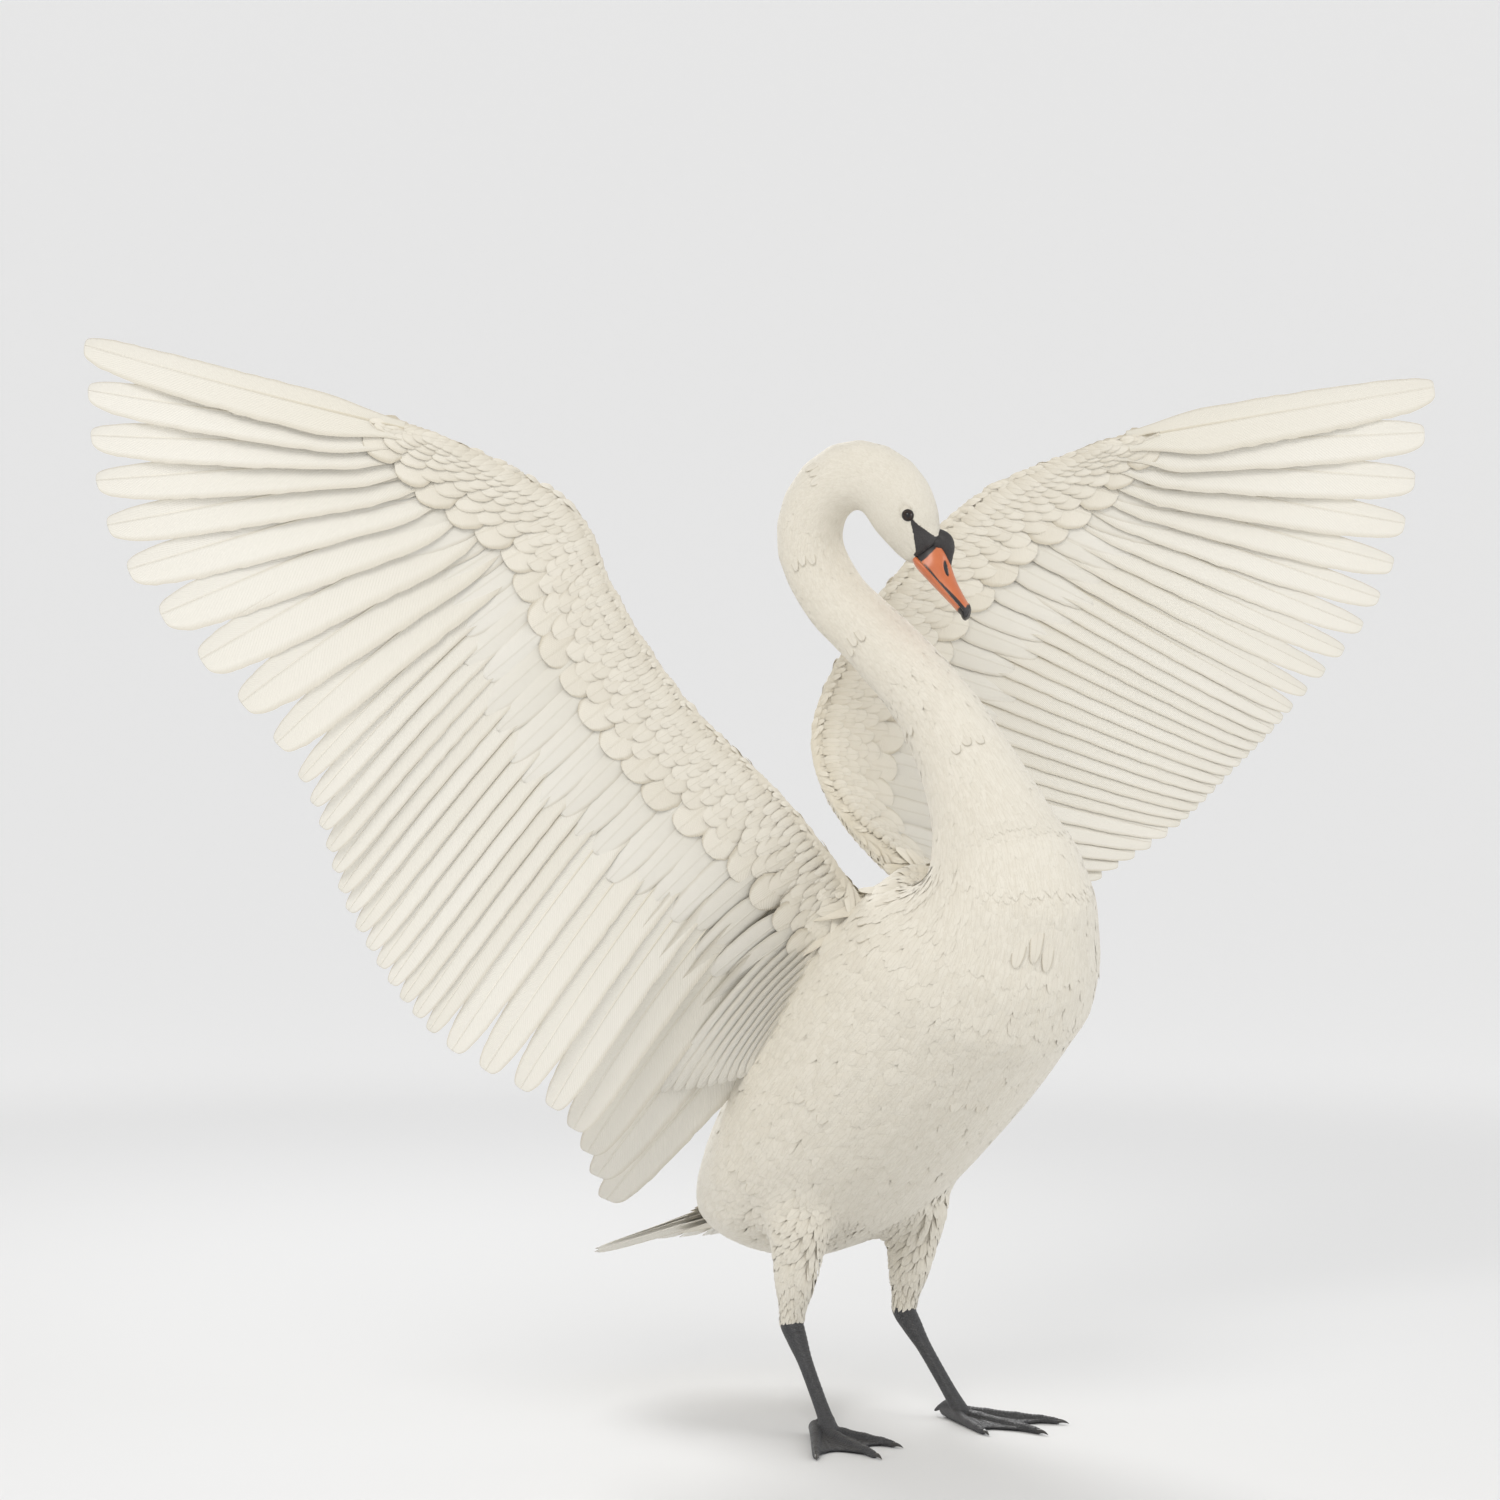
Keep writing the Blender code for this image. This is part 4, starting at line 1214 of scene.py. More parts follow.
# %% The tree that grows a coat on the skin
def build_coat_tree():
    tree, given, result = new_group("coat on skin", "GeometryNodeTree", {
        "Skin": "Geometry", "Spacing": 0.01, "Seed": 1, "Width share": 0.22, "Sides": 3, "Rows": 4,
        "Half thickness": 0.0003, "Tip power": 2.4, "Cup": 0.2, "Fray": 0.1, "Stray": 0.22,
        "Finish": "Material"}, ("Coat",))

    def named(name, kind="FLOAT_VECTOR"):
        return put(tree, "GeometryNodeInputNamedAttribute", name, data_type=kind)

    skin_in = given["Skin"]
    cover = named("cover", "FLOAT")
    covered = put(tree, "GeometryNodeSeparateGeometry", skin_in,
                  maths("GREATER_THAN", cover, 0.02), domain="FACE")
    crowd = maths("DIVIDE", 2.2, times(given["Spacing"], given["Spacing"]))
    scatter = tree.nodes.new("GeometryNodeDistributePointsOnFaces")
    scatter.distribute_method = "POISSON"
    feed(scatter, Mesh=covered, Distance_Min=given["Spacing"], Density_Max=crowd,
         Density_Factor=cover, Seed=given["Seed"])
    points, normal = scatter.outputs[0], scatter.outputs[1]

    def chance(low, high, seed):
        return put(tree, "FunctionNodeRandomValue", low, high, None, seed, data_type="FLOAT")

    def stored(geometry, name, value, kind="FLOAT_VECTOR"):
        return put(tree, "GeometryNodeStoreNamedAttribute", geometry, None, name, value,
                   data_type=kind, domain="POINT")

    place = put(tree, "GeometryNodeInputPosition")
    points = stored(points, "normal_here", normal)
    length = times(named("feather_length", "FLOAT"), chance(0.86, 1.14, 3))
    points = stored(points, "run", length, "FLOAT")
    aside = vectors("CROSS_PRODUCT", named("normal_here"), named("lie"))
    sway = times(chance(-1.0, 1.0, 5), given["Stray"])
    way = vectors("NORMALIZE", plus(named("lie"), scaled(aside, sway)))
    points = stored(points, "way", way)
    sunk = scaled(named("normal_here"), 0.0004)
    points = stored(points, "root", vectors("SUBTRACT", place, sunk))

    skin_normal = put(tree, "GeometryNodeInputNormal")

    def over_skin(share, lift_share):
        run = times(named("run", "FLOAT"), share)
        guess = plus(place, scaled(named("way"), run))
        ground = put(tree, "GeometryNodeProximity", skin_in, None, guess, target_element="FACES")
        upward = vectors("NORMALIZE", put(tree, "GeometryNodeSampleNearestSurface", skin_in,
                                          skin_normal, None, guess, data_type="FLOAT_VECTOR"))
        high = times(named("lift", "FLOAT"), lift_share)
        return plus(ground, scaled(upward, high)), upward

    middle, facing = over_skin(0.5, 0.84)
    end, _ = over_skin(1.0, 0.98)
    points = stored(points, "facing", facing)
    points = stored(points, "middle", middle)
    points = stored(points, "tip", end)
    ends = scaled(plus(named("root"), named("tip")), 0.5)
    bend = vectors("SUBTRACT", scaled(named("middle"), 2.0), ends)
    points = stored(points, "bend", bend)
    wide = times(named("run", "FLOAT"), given["Width share"])
    points = stored(points, "half_width", times(wide, chance(0.88, 1.12, 7)), "FLOAT")
    points = stored(points, "tone", chance(0.0, 1.0, 11), "FLOAT")
    points = stored(points, "patch", named("unwrap"))
    layer = tree.nodes.new("GeometryNodeGroup")
    layer.node_tree = VANES
    shared = ("Sides", "Rows", "Half thickness", "Tip power", "Cup", "Fray", "Finish")
    feed(layer, Roots=points, **{label: given[label] for label in shared})
    tree.links.new(layer.outputs[0], result[0])
    return tree


COAT = build_coat_tree()
print("coat tree:", len(COAT.nodes), "nodes")

# %% [markdown]
# Where the body is hollow, as in front of a leg, a vane may bridge the gap like a splinter. It
# could be bent to fit, but a real coat has thousands to spare, so a feather that stands too far off
# the skin is dropped.

# %% Feathers that leave the skin
SKIN_TREE = BVHTree.FromPolygons([tuple(point) for point in skin_points],
                                 [tuple(face.vertices) for face in skin.polygons])


def without_strays(mesh, sides, rows, limit):
    """Drops the feathers that bridge a hollow instead of lying on the skin."""
    rings = points_of(mesh).reshape(-1, rows + 1, sides, 3).mean(axis=2)
    far = [max(SKIN_TREE.find_nearest(Vector(place))[3] for place in feather) > limit
           for feather in rings]
    if any(far):
        work = bmesh.new()
        work.from_mesh(mesh)
        work.verts.ensure_lookup_table()
        size = sides * (rows + 1)
        spare = [work.verts[number * size + corner] for number in np.flatnonzero(far)
                 for corner in range(size)]
        bmesh.ops.delete(work, geom=spare, context="VERTS")
        work.to_mesh(mesh)
        work.free()
    print("%d of %d feathers dropped" % (sum(far), len(far)))
    return mesh


print("skin faces to measure from:", len(skin.polygons))

# %% [markdown]
# Now each coat is grown with its own spacing. On the face a feather has three sides and three rows,
# and on the breast five rows, because only long feathers show their bend.

# %% Grow the coats
# Each row: spacing, width share, sides, rows, half thickness.
COATS = {
    "face": (0.00115, 0.32, 3, 3, 0.00020),
    "crown": (0.0017, 0.29, 3, 3, 0.00022),
    "neck_upper": (0.0025, 0.27, 3, 3, 0.00025),
    "neck_lower": (0.0036, 0.24, 3, 4, 0.00028),
    "breast": (0.0060, 0.25, 3, 5, 0.0003),
    "belly": (0.0064, 0.24, 3, 5, 0.0003),
    "back": (0.0072, 0.24, 3, 5, 0.0003),
    "thighs": (0.0045, 0.24, 3, 4, 0.0003),
    "arms": (0.0050, 0.25, 3, 4, 0.0003),
}
LOOSE_COATS = ("breast", "belly", "back", "thighs", "arms")
for order, (name, (spacing, share, sides, rows, thick)) in enumerate(COATS.items()):
    bed = skin.copy()
    flat = (COVERS[name] * grown_skin).astype(np.float32)
    bed.attributes["cover"].data.foreach_set("value", flat)
    coat = grown("coat_" + name, bed, COAT, spacing=spacing, seed=order + 1, width_share=share,
                 sides=sides, rows=rows, half_thickness=thick, cup=0.12, stray=0.15, fray=0.25,
                 finish=PLUMAGE)
    if name in LOOSE_COATS:
        highest = 1.15 * lift[COVERS[name]].max() + 0.0022
        coat = without_strays(coat, sides, rows, highest)
    piece("coat_" + name, coat, "plumage")

# %% [markdown]
# The skin is a piece too. It closes the small gaps between feathers with the same cream, and it is
# the bare black face itself.

# %% The skin itself
for spare in ("lie", "feather_length", "lift", "cover"):
    skin.attributes.remove(skin.attributes[spare])
skin.materials.clear()
skin.materials.append(SKIN)
skin.shade_smooth()
ARM_NODES = ["wing_%s_%s" % (side, length_name) for side in WINGS
             for length_name in ("upper_arm", "forearm", "hand")]
piece("skin", skin, "plumage", *BODY_NODES, *ARM_NODES)

# %% [markdown]
# ## Feathers in rows
#
# The wing and tail feathers stand in ordered rows, and each has its own place and number. A row is
# a table of roots, worked out from the wing's surface. A shaft that follows the surface is a part
# of a parabola, so one bend point gives it exactly. Neighbours overlap like tiles: each vane is
# tilted a few degrees, with its outer edge up, so it passes over the next outer feather as on a
# real wing.

# %% Tables of roots
def row(root, middle, tip, facing, half_width, patch, lean=0.0, seed=1):
    count = len(root)
    chance = np.random.default_rng(seed)
    return {
        "root": root,
        "bend": 2 * middle - (root + tip) / 2,
        "tip": tip,
        "facing": facing,
        "half_width": np.broadcast_to(half_width, count),
        "lean": np.broadcast_to(lean, count),
        "patch": patch,
        "tone": chance.random(count),
    }


def lay_rows(name, tables, slot, nodes=(), **shape):
    """One piece from several rows."""
    table = {key: np.concatenate([np.asarray(each[key]) for each in tables]) for key in tables[0]}
    mesh = bpy.data.meshes.new(name)
    mesh.from_pydata(table["root"].tolist(), [], [])
    for key, values in table.items():
        kind = "FLOAT" if values.ndim == 1 else "FLOAT_VECTOR"
        store(mesh, key, kind, values)
    return piece(name, grown(name, mesh, VANES, **shape), slot, *nodes)


def patches(u, v):
    """Places on the unwrap, one for each root."""
    return np.stack([u, np.broadcast_to(v, u.shape), np.zeros(u.shape)], axis=1)


def wing_patch(wing, out, chord, above):
    depth = 0.28 * np.minimum(chord, 0.25) + 0.02 * np.maximum(np.asarray(chord) - 0.25, 0)
    return patches(*arm_uv(wing, np.asarray(out), depth, above))


def outward(wing, out, chord):
    ahead = np.minimum(out + 0.1, HAND_END)
    behind = np.maximum(out - 0.1, 0.0)
    return unit(wing_point(wing, ahead, chord) - wing_point(wing, behind, chord))


def even_places(wing, chord, first, last, step):
    """Places along the arm that stand one step apart at a chord."""
    out = np.linspace(first, last, 400)
    line = wing_point(wing, out, chord)
    run = np.concatenate(([0.0], np.cumsum(np.linalg.norm(np.diff(line, axis=0), axis=1))))
    count = max(int(round(run[-1] / step)), 2)
    return np.interp((np.arange(count) + 0.5) / count * run[-1], run, out)


print("row helpers ready")

# %% [markdown]
# The flight feathers are the ten primaries on the hand, the secondaries on the forearm and the
# tertials near the body. A real quill goes in at the bone, so each shaft starts a tenth of the
# chord behind the leading edge. A primary's leading vane is narrow and its trailing one is wide.

# %% Flight feathers
TILT = radians(6.5)
FLIGHT_PATCH = 0.985         # height of the flight feathers' patches on the unwrap


def flight_row(wing, first, last, count, start, narrow, width_share, least, seed):
    width = (last - first) / count
    out = first + width * (np.arange(count) + 0.5)
    shifted = np.clip(out + narrow * 0.35 * width, 0, HAND_END)
    root = wing_point(wing, np.clip(shifted * 0.9 + out * 0.1, 0, HAND_END), start)
    middle = wing_point(wing, shifted, (start + 1.0) / 2)
    tip = wing_point(wing, shifted, 0.997)
    spread = outward(wing, out, 0.7)
    facing = wing_back(wing, out) * cos(TILT) - spread * sin(TILT)
    gap = np.linalg.norm(wing_point(wing, out + width / 2, 0.84)
                         - wing_point(wing, out - width / 2, 0.84), axis=1)
    ahead = unit(tip - root)
    sign = np.sign(np.sum(np.cross(facing, ahead) * spread, axis=1))
    patch = patches(arm_uv(wing, out, 0.0, True)[0], FLIGHT_PATCH)
    return row(root, middle, tip, facing, np.maximum(gap * width_share, least), patch,
               -narrow * sign, seed)


# Each fan: first and last place, count, chord at the roots, lean, share of the gap, and least
# half width.
FANS = (
    ("tertials", 0.0, ELBOW - 0.004, 8, 0.13, 0.05, 0.60, 0.0215),
    ("secondaries", ELBOW + 0.004, WRIST - 0.004, 14, 0.12, 0.12, 0.62, 0.0180),
    ("primaries", WRIST + 0.004, HAND_END, 10, 0.10, 0.26, 0.62, 0.0175),
)
SHAFT_HALF = 0.0017
shafts = {name: [] for name in WINGS}
for name, wing in WINGS.items():
    for order, (kind, first, last, count, *numbers) in enumerate(FANS):
        fan = flight_row(wing, first, last, count, *numbers, order + 3)
        shafts[name].append({**fan, "half_width": np.full(count, SHAFT_HALF),
                             "lean": np.zeros(count)})
        label = "wing_%s_%s" % (name, kind)
        lay_rows(kind + "_" + name, [fan], "flight_feathers", [label], sides=8, rows=44,
                 half_thickness=0.0009, quill_width=0.45, full_from=0.26, tip_power=4.0, cup=0.10,
                 fray=0.14, row_crowding=2.0, finish=FLIGHT)

# %% [markdown]
# The shaft of a flight feather is a pale rib on both faces. The vanes are too coarse across to
# raise it on them. So it is laid by the same tree from the same tables, as a narrow, thick vane
# with six sides, and can't leave its feather.

# %% Shafts of the flight feathers
for name, tables in shafts.items():
    lay_rows("shafts_" + name, tables, "flight_feathers", sides=6, rows=24, half_thickness=0.0019,
             quill_width=1.0, tip_power=1.6, cup=0.0, row_crowding=1.2, finish=SHAFT)

# %% [markdown]
# Coverts lie over the quills in rows, above and below, small near the leading edge and longer
# behind. Below, the last cream row ends in broad scallops at about a quarter of the chord, and
# paler greater coverts run on over the bases of the flight feathers.

# %% Coverts above and below
# Each row: chord at the root, chord at the tips, step along the arm, how far the tips stand up.
UNDER_ROWS = (
    (0.034, 0.082, 0.011, 0.0004), (0.05, 0.108, 0.013, 0.0006), (0.07, 0.136, 0.017, 0.0010),
    (0.09, 0.165, 0.021, 0.0012), (0.115, 0.200, 0.027, 0.0014), (0.14, 0.250, 0.040, 0.0022),
)
UPPER_ROWS = (
    (0.034, 0.085, 0.011, 0.0004), (0.055, 0.120, 0.014, 0.0008), (0.075, 0.160, 0.017, 0.0010),
    (0.105, 0.205, 0.021, 0.0012), (0.14, 0.250, 0.026, 0.0014), (0.18, 0.300, 0.031, 0.0016),
    (0.22, 0.350, 0.036, 0.0018),
)


FIRST_COVERT, LAST_COVERT = 0.30, 5.85
JITTER = 0.10                # how unevenly coverts stand, as a share of their step


def covert_row(wing, above, start, end, step, stand, share=0.72, seed=1):
    side = 1 if above else -1
    chance = np.random.default_rng(seed)
    out = even_places(wing, end, FIRST_COVERT, LAST_COVERT, step)
    moved = chance.uniform(-JITTER, JITTER, len(out)) * (out[1] - out[0])
    out = np.clip(out + moved, 0.0, HAND_END)
    finish_at = end + chance.uniform(-JITTER, JITTER, len(out)) * (end - start)
    back = wing_back(wing, out) * side
    base_out = np.maximum(out - 0.06, 0.0)
    middle_at = (start + finish_at) / 2
    root = wing_point(wing, base_out, start) + back * (wing_half(out, start) - 0.0030)[:, None]
    middle = wing_point(wing, (base_out + out) / 2, middle_at) + back * (
        wing_half(out, middle_at) + stand * 0.5)[:, None]
    tip = wing_point(wing, out, finish_at) + back * (wing_half(out, finish_at) + stand)[:, None]
    facing = back * cos(TILT) - outward(wing, out, end) * (side * sin(TILT))
    return row(root, middle, tip, facing, step * share, wing_patch(wing, out, start, above),
               seed=seed)


COVERT_SHAPE = {"sides": 4, "rows": 8, "half_thickness": 0.0005, "quill_width": 0.55,
                "tip_power": 2.6, "cup": 0.16, "fray": 0.12, "row_crowding": 1.5}
for name, wing in WINGS.items():
    for above, rows_there, label in ((False, UNDER_ROWS, "under"), (True, UPPER_ROWS, "upper")):
        rows = [covert_row(wing, above, *numbers, seed=20 + order)
                for order, numbers in enumerate(rows_there)]
        lay_rows("coverts_%s_%s" % (label, name), rows[:-1], "plumage", finish=COVERTS,
                 **COVERT_SHAPE)
        # the scallops' finish paints a strong shade line along their edges
        lay_rows("scallops_%s_%s" % (label, name), rows[-1:], "plumage", finish=STANDING,
                 **{**COVERT_SHAPE, "rows": 12})
        start, end = (0.24, 0.45) if above else (0.16, 0.43)
        greater = [covert_row(wing, above, start, end, 0.030, 0.0004, share=0.66, seed=41)]
        lay_rows("greater_coverts_%s_%s" % (label, name), greater, "flight_feathers",
                 finish=FLIGHT, **{**COVERT_SHAPE, "rows": 16, "tip_power": 3.4})

# %% [markdown]
# Scapulars grow over the shoulder and lie back over the root of the wing. Axillaries are long pale
# plumes that fan out of the armpit and lie along the flank. Both need places on the body, so a ray
# is sent out from the body's line to its skin.

# %% Scapulars, from places on the body's skin
BODY_LIMIT = 0.165           # a ray that meets no skin ends here


def on_body_skin(reach, turn, rise):
    """Points over the body's skin: reach along its line, turn from the back to the left."""
    centre, _, back, left = spine_frame(reach)
    way = back * np.cos(turn)[:, None] + left * np.sin(turn)[:, None]
    found = []
    for start, line in zip(centre, way):
        place, _, _, _ = SKIN_TREE.ray_cast(Vector(start), Vector(line), BODY_LIMIT)
        found.append(place if place is not None else Vector(start + line * BODY_LIMIT))
    return np.array(found) + way * rise, way


def scapular_row(side, reach, long, rise, seed, count=9):
    chance = np.random.default_rng(seed)
    share = (np.arange(count) + 0.5 * (seed % 2) + chance.uniform(-0.15, 0.15, count)) / count
    turn = side * np.radians(8 + 68 * share)
    start = reach - 0.035 * share + chance.uniform(-0.006, 0.006, count)
    end = start - long * (1 - 0.15 * share) * chance.uniform(0.86, 1.10, count)
    root, way = on_body_skin(start, turn, 0.001)
    middle, _ = on_body_skin((start + end) / 2, turn * 0.97, rise * 0.9)
    tip, _ = on_body_skin(end, turn * 0.92, rise)
    return row(root, middle, tip, way, 0.0170 + 0.003 * share, patches(*body_uv(start, turn)),
               seed=seed)


for name, wing in WINGS.items():
    rows = [scapular_row(wing["side"], 0.590 - 0.034 * order, 0.070 + 0.012 * order,
                         0.0105 + 0.0006 * order, 61 + order) for order in range(6)]
    lay_rows("scapulars_" + name, rows, "plumage", finish=COVERTS, **{**COVERT_SHAPE, "rows": 12})

# %% [markdown]
# Here and there on the neck, breast and flanks three feathers stand a little out of the coat, the
# middle one ahead. Their tips are only just above the coat, so they catch a fine shadow, and their
# finish paints a stronger shade line along their edges.

# %% Small sets of feathers that stand out of the coat
# Each set: reach along the body, turn from the back in degrees, length, half width.
STANDING_SETS = (
    (1.21, -42, 0.020, 0.0060), (1.12, -70, 0.024, 0.0064), (1.01, -80, 0.028, 0.0072),
    (0.89, -66, 0.034, 0.0085), (0.84, -150, 0.034, 0.0085), (0.66, -165, 0.034, 0.0105),
    (0.60, -75, 0.045, 0.0105), (0.50, -170, 0.048, 0.0110), (0.40, -112, 0.048, 0.0110),
    (0.24, -105, 0.048, 0.0110), (0.62, 110, 0.045, 0.0105), (0.90, 80, 0.034, 0.0085),
    (1.10, 100, 0.024, 0.0064),
)


def over_body(reach, turn, rise):
    """Places that stand off the body's skin along its own normal, and those normals."""
    place, way = on_body_skin(reach, turn, 0.0)
    normal = np.array([SKIN_TREE.find_nearest(Vector(point))[1] for point in place])
    normal *= np.sign(np.sum(normal * way, axis=1))[:, None]
    return place + normal * rise, normal


def standing_set(reach, turn, long, half, seed):
    deep = float(smooth(REACH_KEYS, COAT_DEPTH, reach))
    turn = radians(turn)
    place, _ = on_body_skin(np.array([reach]), np.array([turn]), 0.0)
    around = float(np.linalg.norm(place[0] - spine_frame(reach)[0]))
    share = np.array((-1.0, 0.0, 1.0))
    turns = turn + share * 1.5 * half / around
    start = reach + long * 0.5 - 0.12 * long * np.abs(share)
    root, normal = over_body(start, turns, 0.1 * deep)
    middle, _ = over_body(start - long / 2, turns, 0.60 * deep)
    tip, _ = over_body(start - long, turns, 0.92 * deep + 0.0013)
    return row(root, middle, tip, normal, half, patches(*body_uv(start, turns)), seed=seed)


lay_rows("standing_sets", [standing_set(*numbers, 91 + order)
                           for order, numbers in enumerate(STANDING_SETS)],
         "plumage", finish=STANDING, **{**COVERT_SHAPE, "rows": 14})

# %% [markdown]
# An axillary starts under the arm and ends between wing and flank. So three places are found for it
# on the wing and three on the body, and it runs between them, the first plume close to the wing and
# the last one close to the body.

# %% Axillaries in the armpit
# Each place: chord on the wing, reach along the body, turn round it in degrees.
AXILLARY_PLACES = ((0.13, 0.50, 88), (0.45, 0.37, 84), (0.78, 0.23, 80))


def axillaries(wing, count=10):
    share = np.linspace(0.0, 1.0, count)
    out = 0.42 - 0.30 * share
    below = -wing_back(wing, out)
    places = []
    for chord, reach, turn in AXILLARY_PLACES:
        turns = np.full(count, wing["side"] * radians(turn))
        on_side, _ = on_body_skin(np.full(count, reach), turns, 0.006)
        spread = share[:, None] * (0.30 + 0.55 * chord)
        places.append(wing_point(wing, out, chord) * (1 - spread) + on_side * spread
                      + below * 0.010)
    long = (0.92 - 0.30 * share)[:, None]
    root, middle, tip = places
    tip = root + (tip - root) * long
    middle = root + (middle - root) * long
    spread = unit(places[2][-1] - places[2][0])
    facing = unit(np.cross(unit(tip - root), spread))
    facing = facing * np.sign(np.sum(facing * below, axis=1))[:, None]
    return row(root, middle, tip, facing, 0.0150, wing_patch(wing, share * 0.4, 0.12, False),
               seed=71)


for name, wing in WINGS.items():
    lay_rows("axillaries_" + name, [axillaries(wing)], "flight_feathers", finish=FLIGHT,
             **{**COVERT_SHAPE, "rows": 26, "tip_power": 3.4})

# %% [markdown]
# The tail is a fan of twelve broad feathers with eleven more between and under them. Like a wing,
# it is a surface with two numbers: out to the side, and along the feather. Long coverts from the
# rump hide the quills.

# %% Tail
TAIL_ROOT = np.array(trunk_point(-0.330, 0.044)) + SHIFT
TAIL_LENGTH = 0.250
TAIL_SPREAD = radians(34.0)
TAIL_DROP = radians(21.0)
TAIL_PATCH = 0.83            # height of the tail's patches on the unwrap


def tail_point(out, chord):
    """Out runs from -1 at the right edge to 1 at the left edge."""
    out, chord = np.broadcast_arrays(np.asarray(out, float), np.asarray(chord, float))
    turn = out * TAIL_SPREAD
    reach = TAIL_LENGTH * (1 - 0.24 * out * out) * chord
    x = 0.045 * out + np.sin(turn) * reach
    rear = np.cos(turn) * reach
    arch = -0.030 * out * out
    y = rear * cos(TAIL_DROP) + arch * sin(TAIL_DROP)
    z = -rear * sin(TAIL_DROP) + arch * cos(TAIL_DROP)
    return TAIL_ROOT + np.stack([x, y, z], axis=-1)


TAIL_UP = np.array((0.0, sin(TAIL_DROP), cos(TAIL_DROP)))


def tail_row(count, start, end, lift, width_share, seed, spread=1.0):
    edges = np.linspace(-spread, spread, count + 1)
    out = (edges[1:] + edges[:-1]) / 2
    step = edges[1] - edges[0]
    root, middle, tip = (tail_point(out, at) + TAIL_UP * lift
                         for at in (start, (start + end) / 2, end))
    arched = np.stack([-np.sin(out * 0.5), np.zeros(count), np.cos(out * 0.5)], axis=1)
    facing = unit(TAIL_UP + arched * 0.4)
    gap = np.linalg.norm(tail_point(out + step / 2, 0.9) - tail_point(out - step / 2, 0.9), axis=1)
    patch = patches(0.02 + 0.45 * (out + 1) / 2, TAIL_PATCH)
    return row(root, middle, tip, facing, gap * width_share, patch, seed=seed)


TAIL_SHAPE = {"sides": 8, "rows": 36, "half_thickness": 0.0008, "quill_width": 0.35, "cup": 0.12,
              "tip_power": 3.6, "fray": 0.14, "row_crowding": 1.3, "finish": FLIGHT}
lay_rows("tail_feathers", [tail_row(12, 0.03, 0.998, 0.0006, 0.60, 51),
                           tail_row(11, 0.03, 0.955, -0.0022, 0.58, 52, 0.92)],
         "flight_feathers", ["tail"], **TAIL_SHAPE)
tail_coverts = [tail_row(15, -0.22, 0.36, 0.0070, 0.80, 53, 0.95),
                tail_row(13, -0.26, 0.22, 0.0110, 0.85, 54, 0.85),
                tail_row(15, -0.16, 0.42, -0.0080, 0.80, 55, 0.92),
                tail_row(13, -0.20, 0.28, -0.0130, 0.85, 56, 0.80)]
lay_rows("tail_coverts", tail_coverts, "plumage", finish=COVERTS,
         **{**COVERT_SHAPE, "rows": 12})

# %% [markdown]
# ## The bill
#
# A swan's bill is a deep wedge at the face and a broad, flat spoon at the tip. It is lofted in two
# halves along the line of the gape, with fine rings, so its details are real shape: the slot of the
# nostril, the nail that hooks over the tip, and the low lip of the cutting edge.

# The lofts follow a table of the bill's sizes. Points along the side of each ring are then pressed
# in or raised by soft steps, and the same steps say which points are black, so mark and shape
# agree.

# %% Two halves of the bill
BILL_LENGTH = 0.086
GAPE_DROP = 0.0115           # from the middle of the face's edge down to the gape
# Share of the length, half width, height above the gape line, depth below it.
BILL_STATIONS = np.array((
    (-0.10, 0.0112, 0.0245, 0.0042),
    (-0.05, 0.0138, 0.0280, 0.0058),
    (0.00, 0.0158, 0.0302, 0.0073),
    (0.05, 0.0168, 0.0308, 0.0081),
    (0.13, 0.0169, 0.0288, 0.0082),
    (0.30, 0.0158, 0.0226, 0.0076),
    (0.52, 0.0150, 0.0160, 0.0066),
    (0.74, 0.0160, 0.0114, 0.0056),
    (0.90, 0.0160, 0.0086, 0.0049),
    (0.97, 0.0125, 0.0063, 0.0038),
    (1.00, 0.0070, 0.0036, 0.0024),
))
GAPE_SLOPE = 0.0025          # how much lower the gape runs at the face than at the tip
NOSTRIL_AT, NOSTRIL_TURN = 0.34, radians(40)
NOSTRIL_LONG, NOSTRIL_TALL = 0.100, 0.18
NAIL_AT, NAIL_LONG, NAIL_WIDE = 0.985, 0.135, 0.0088
HOOK = 0.0030                # how far the tip bends down
HALF_GAP = 0.00015           # from the gape to each half's sole


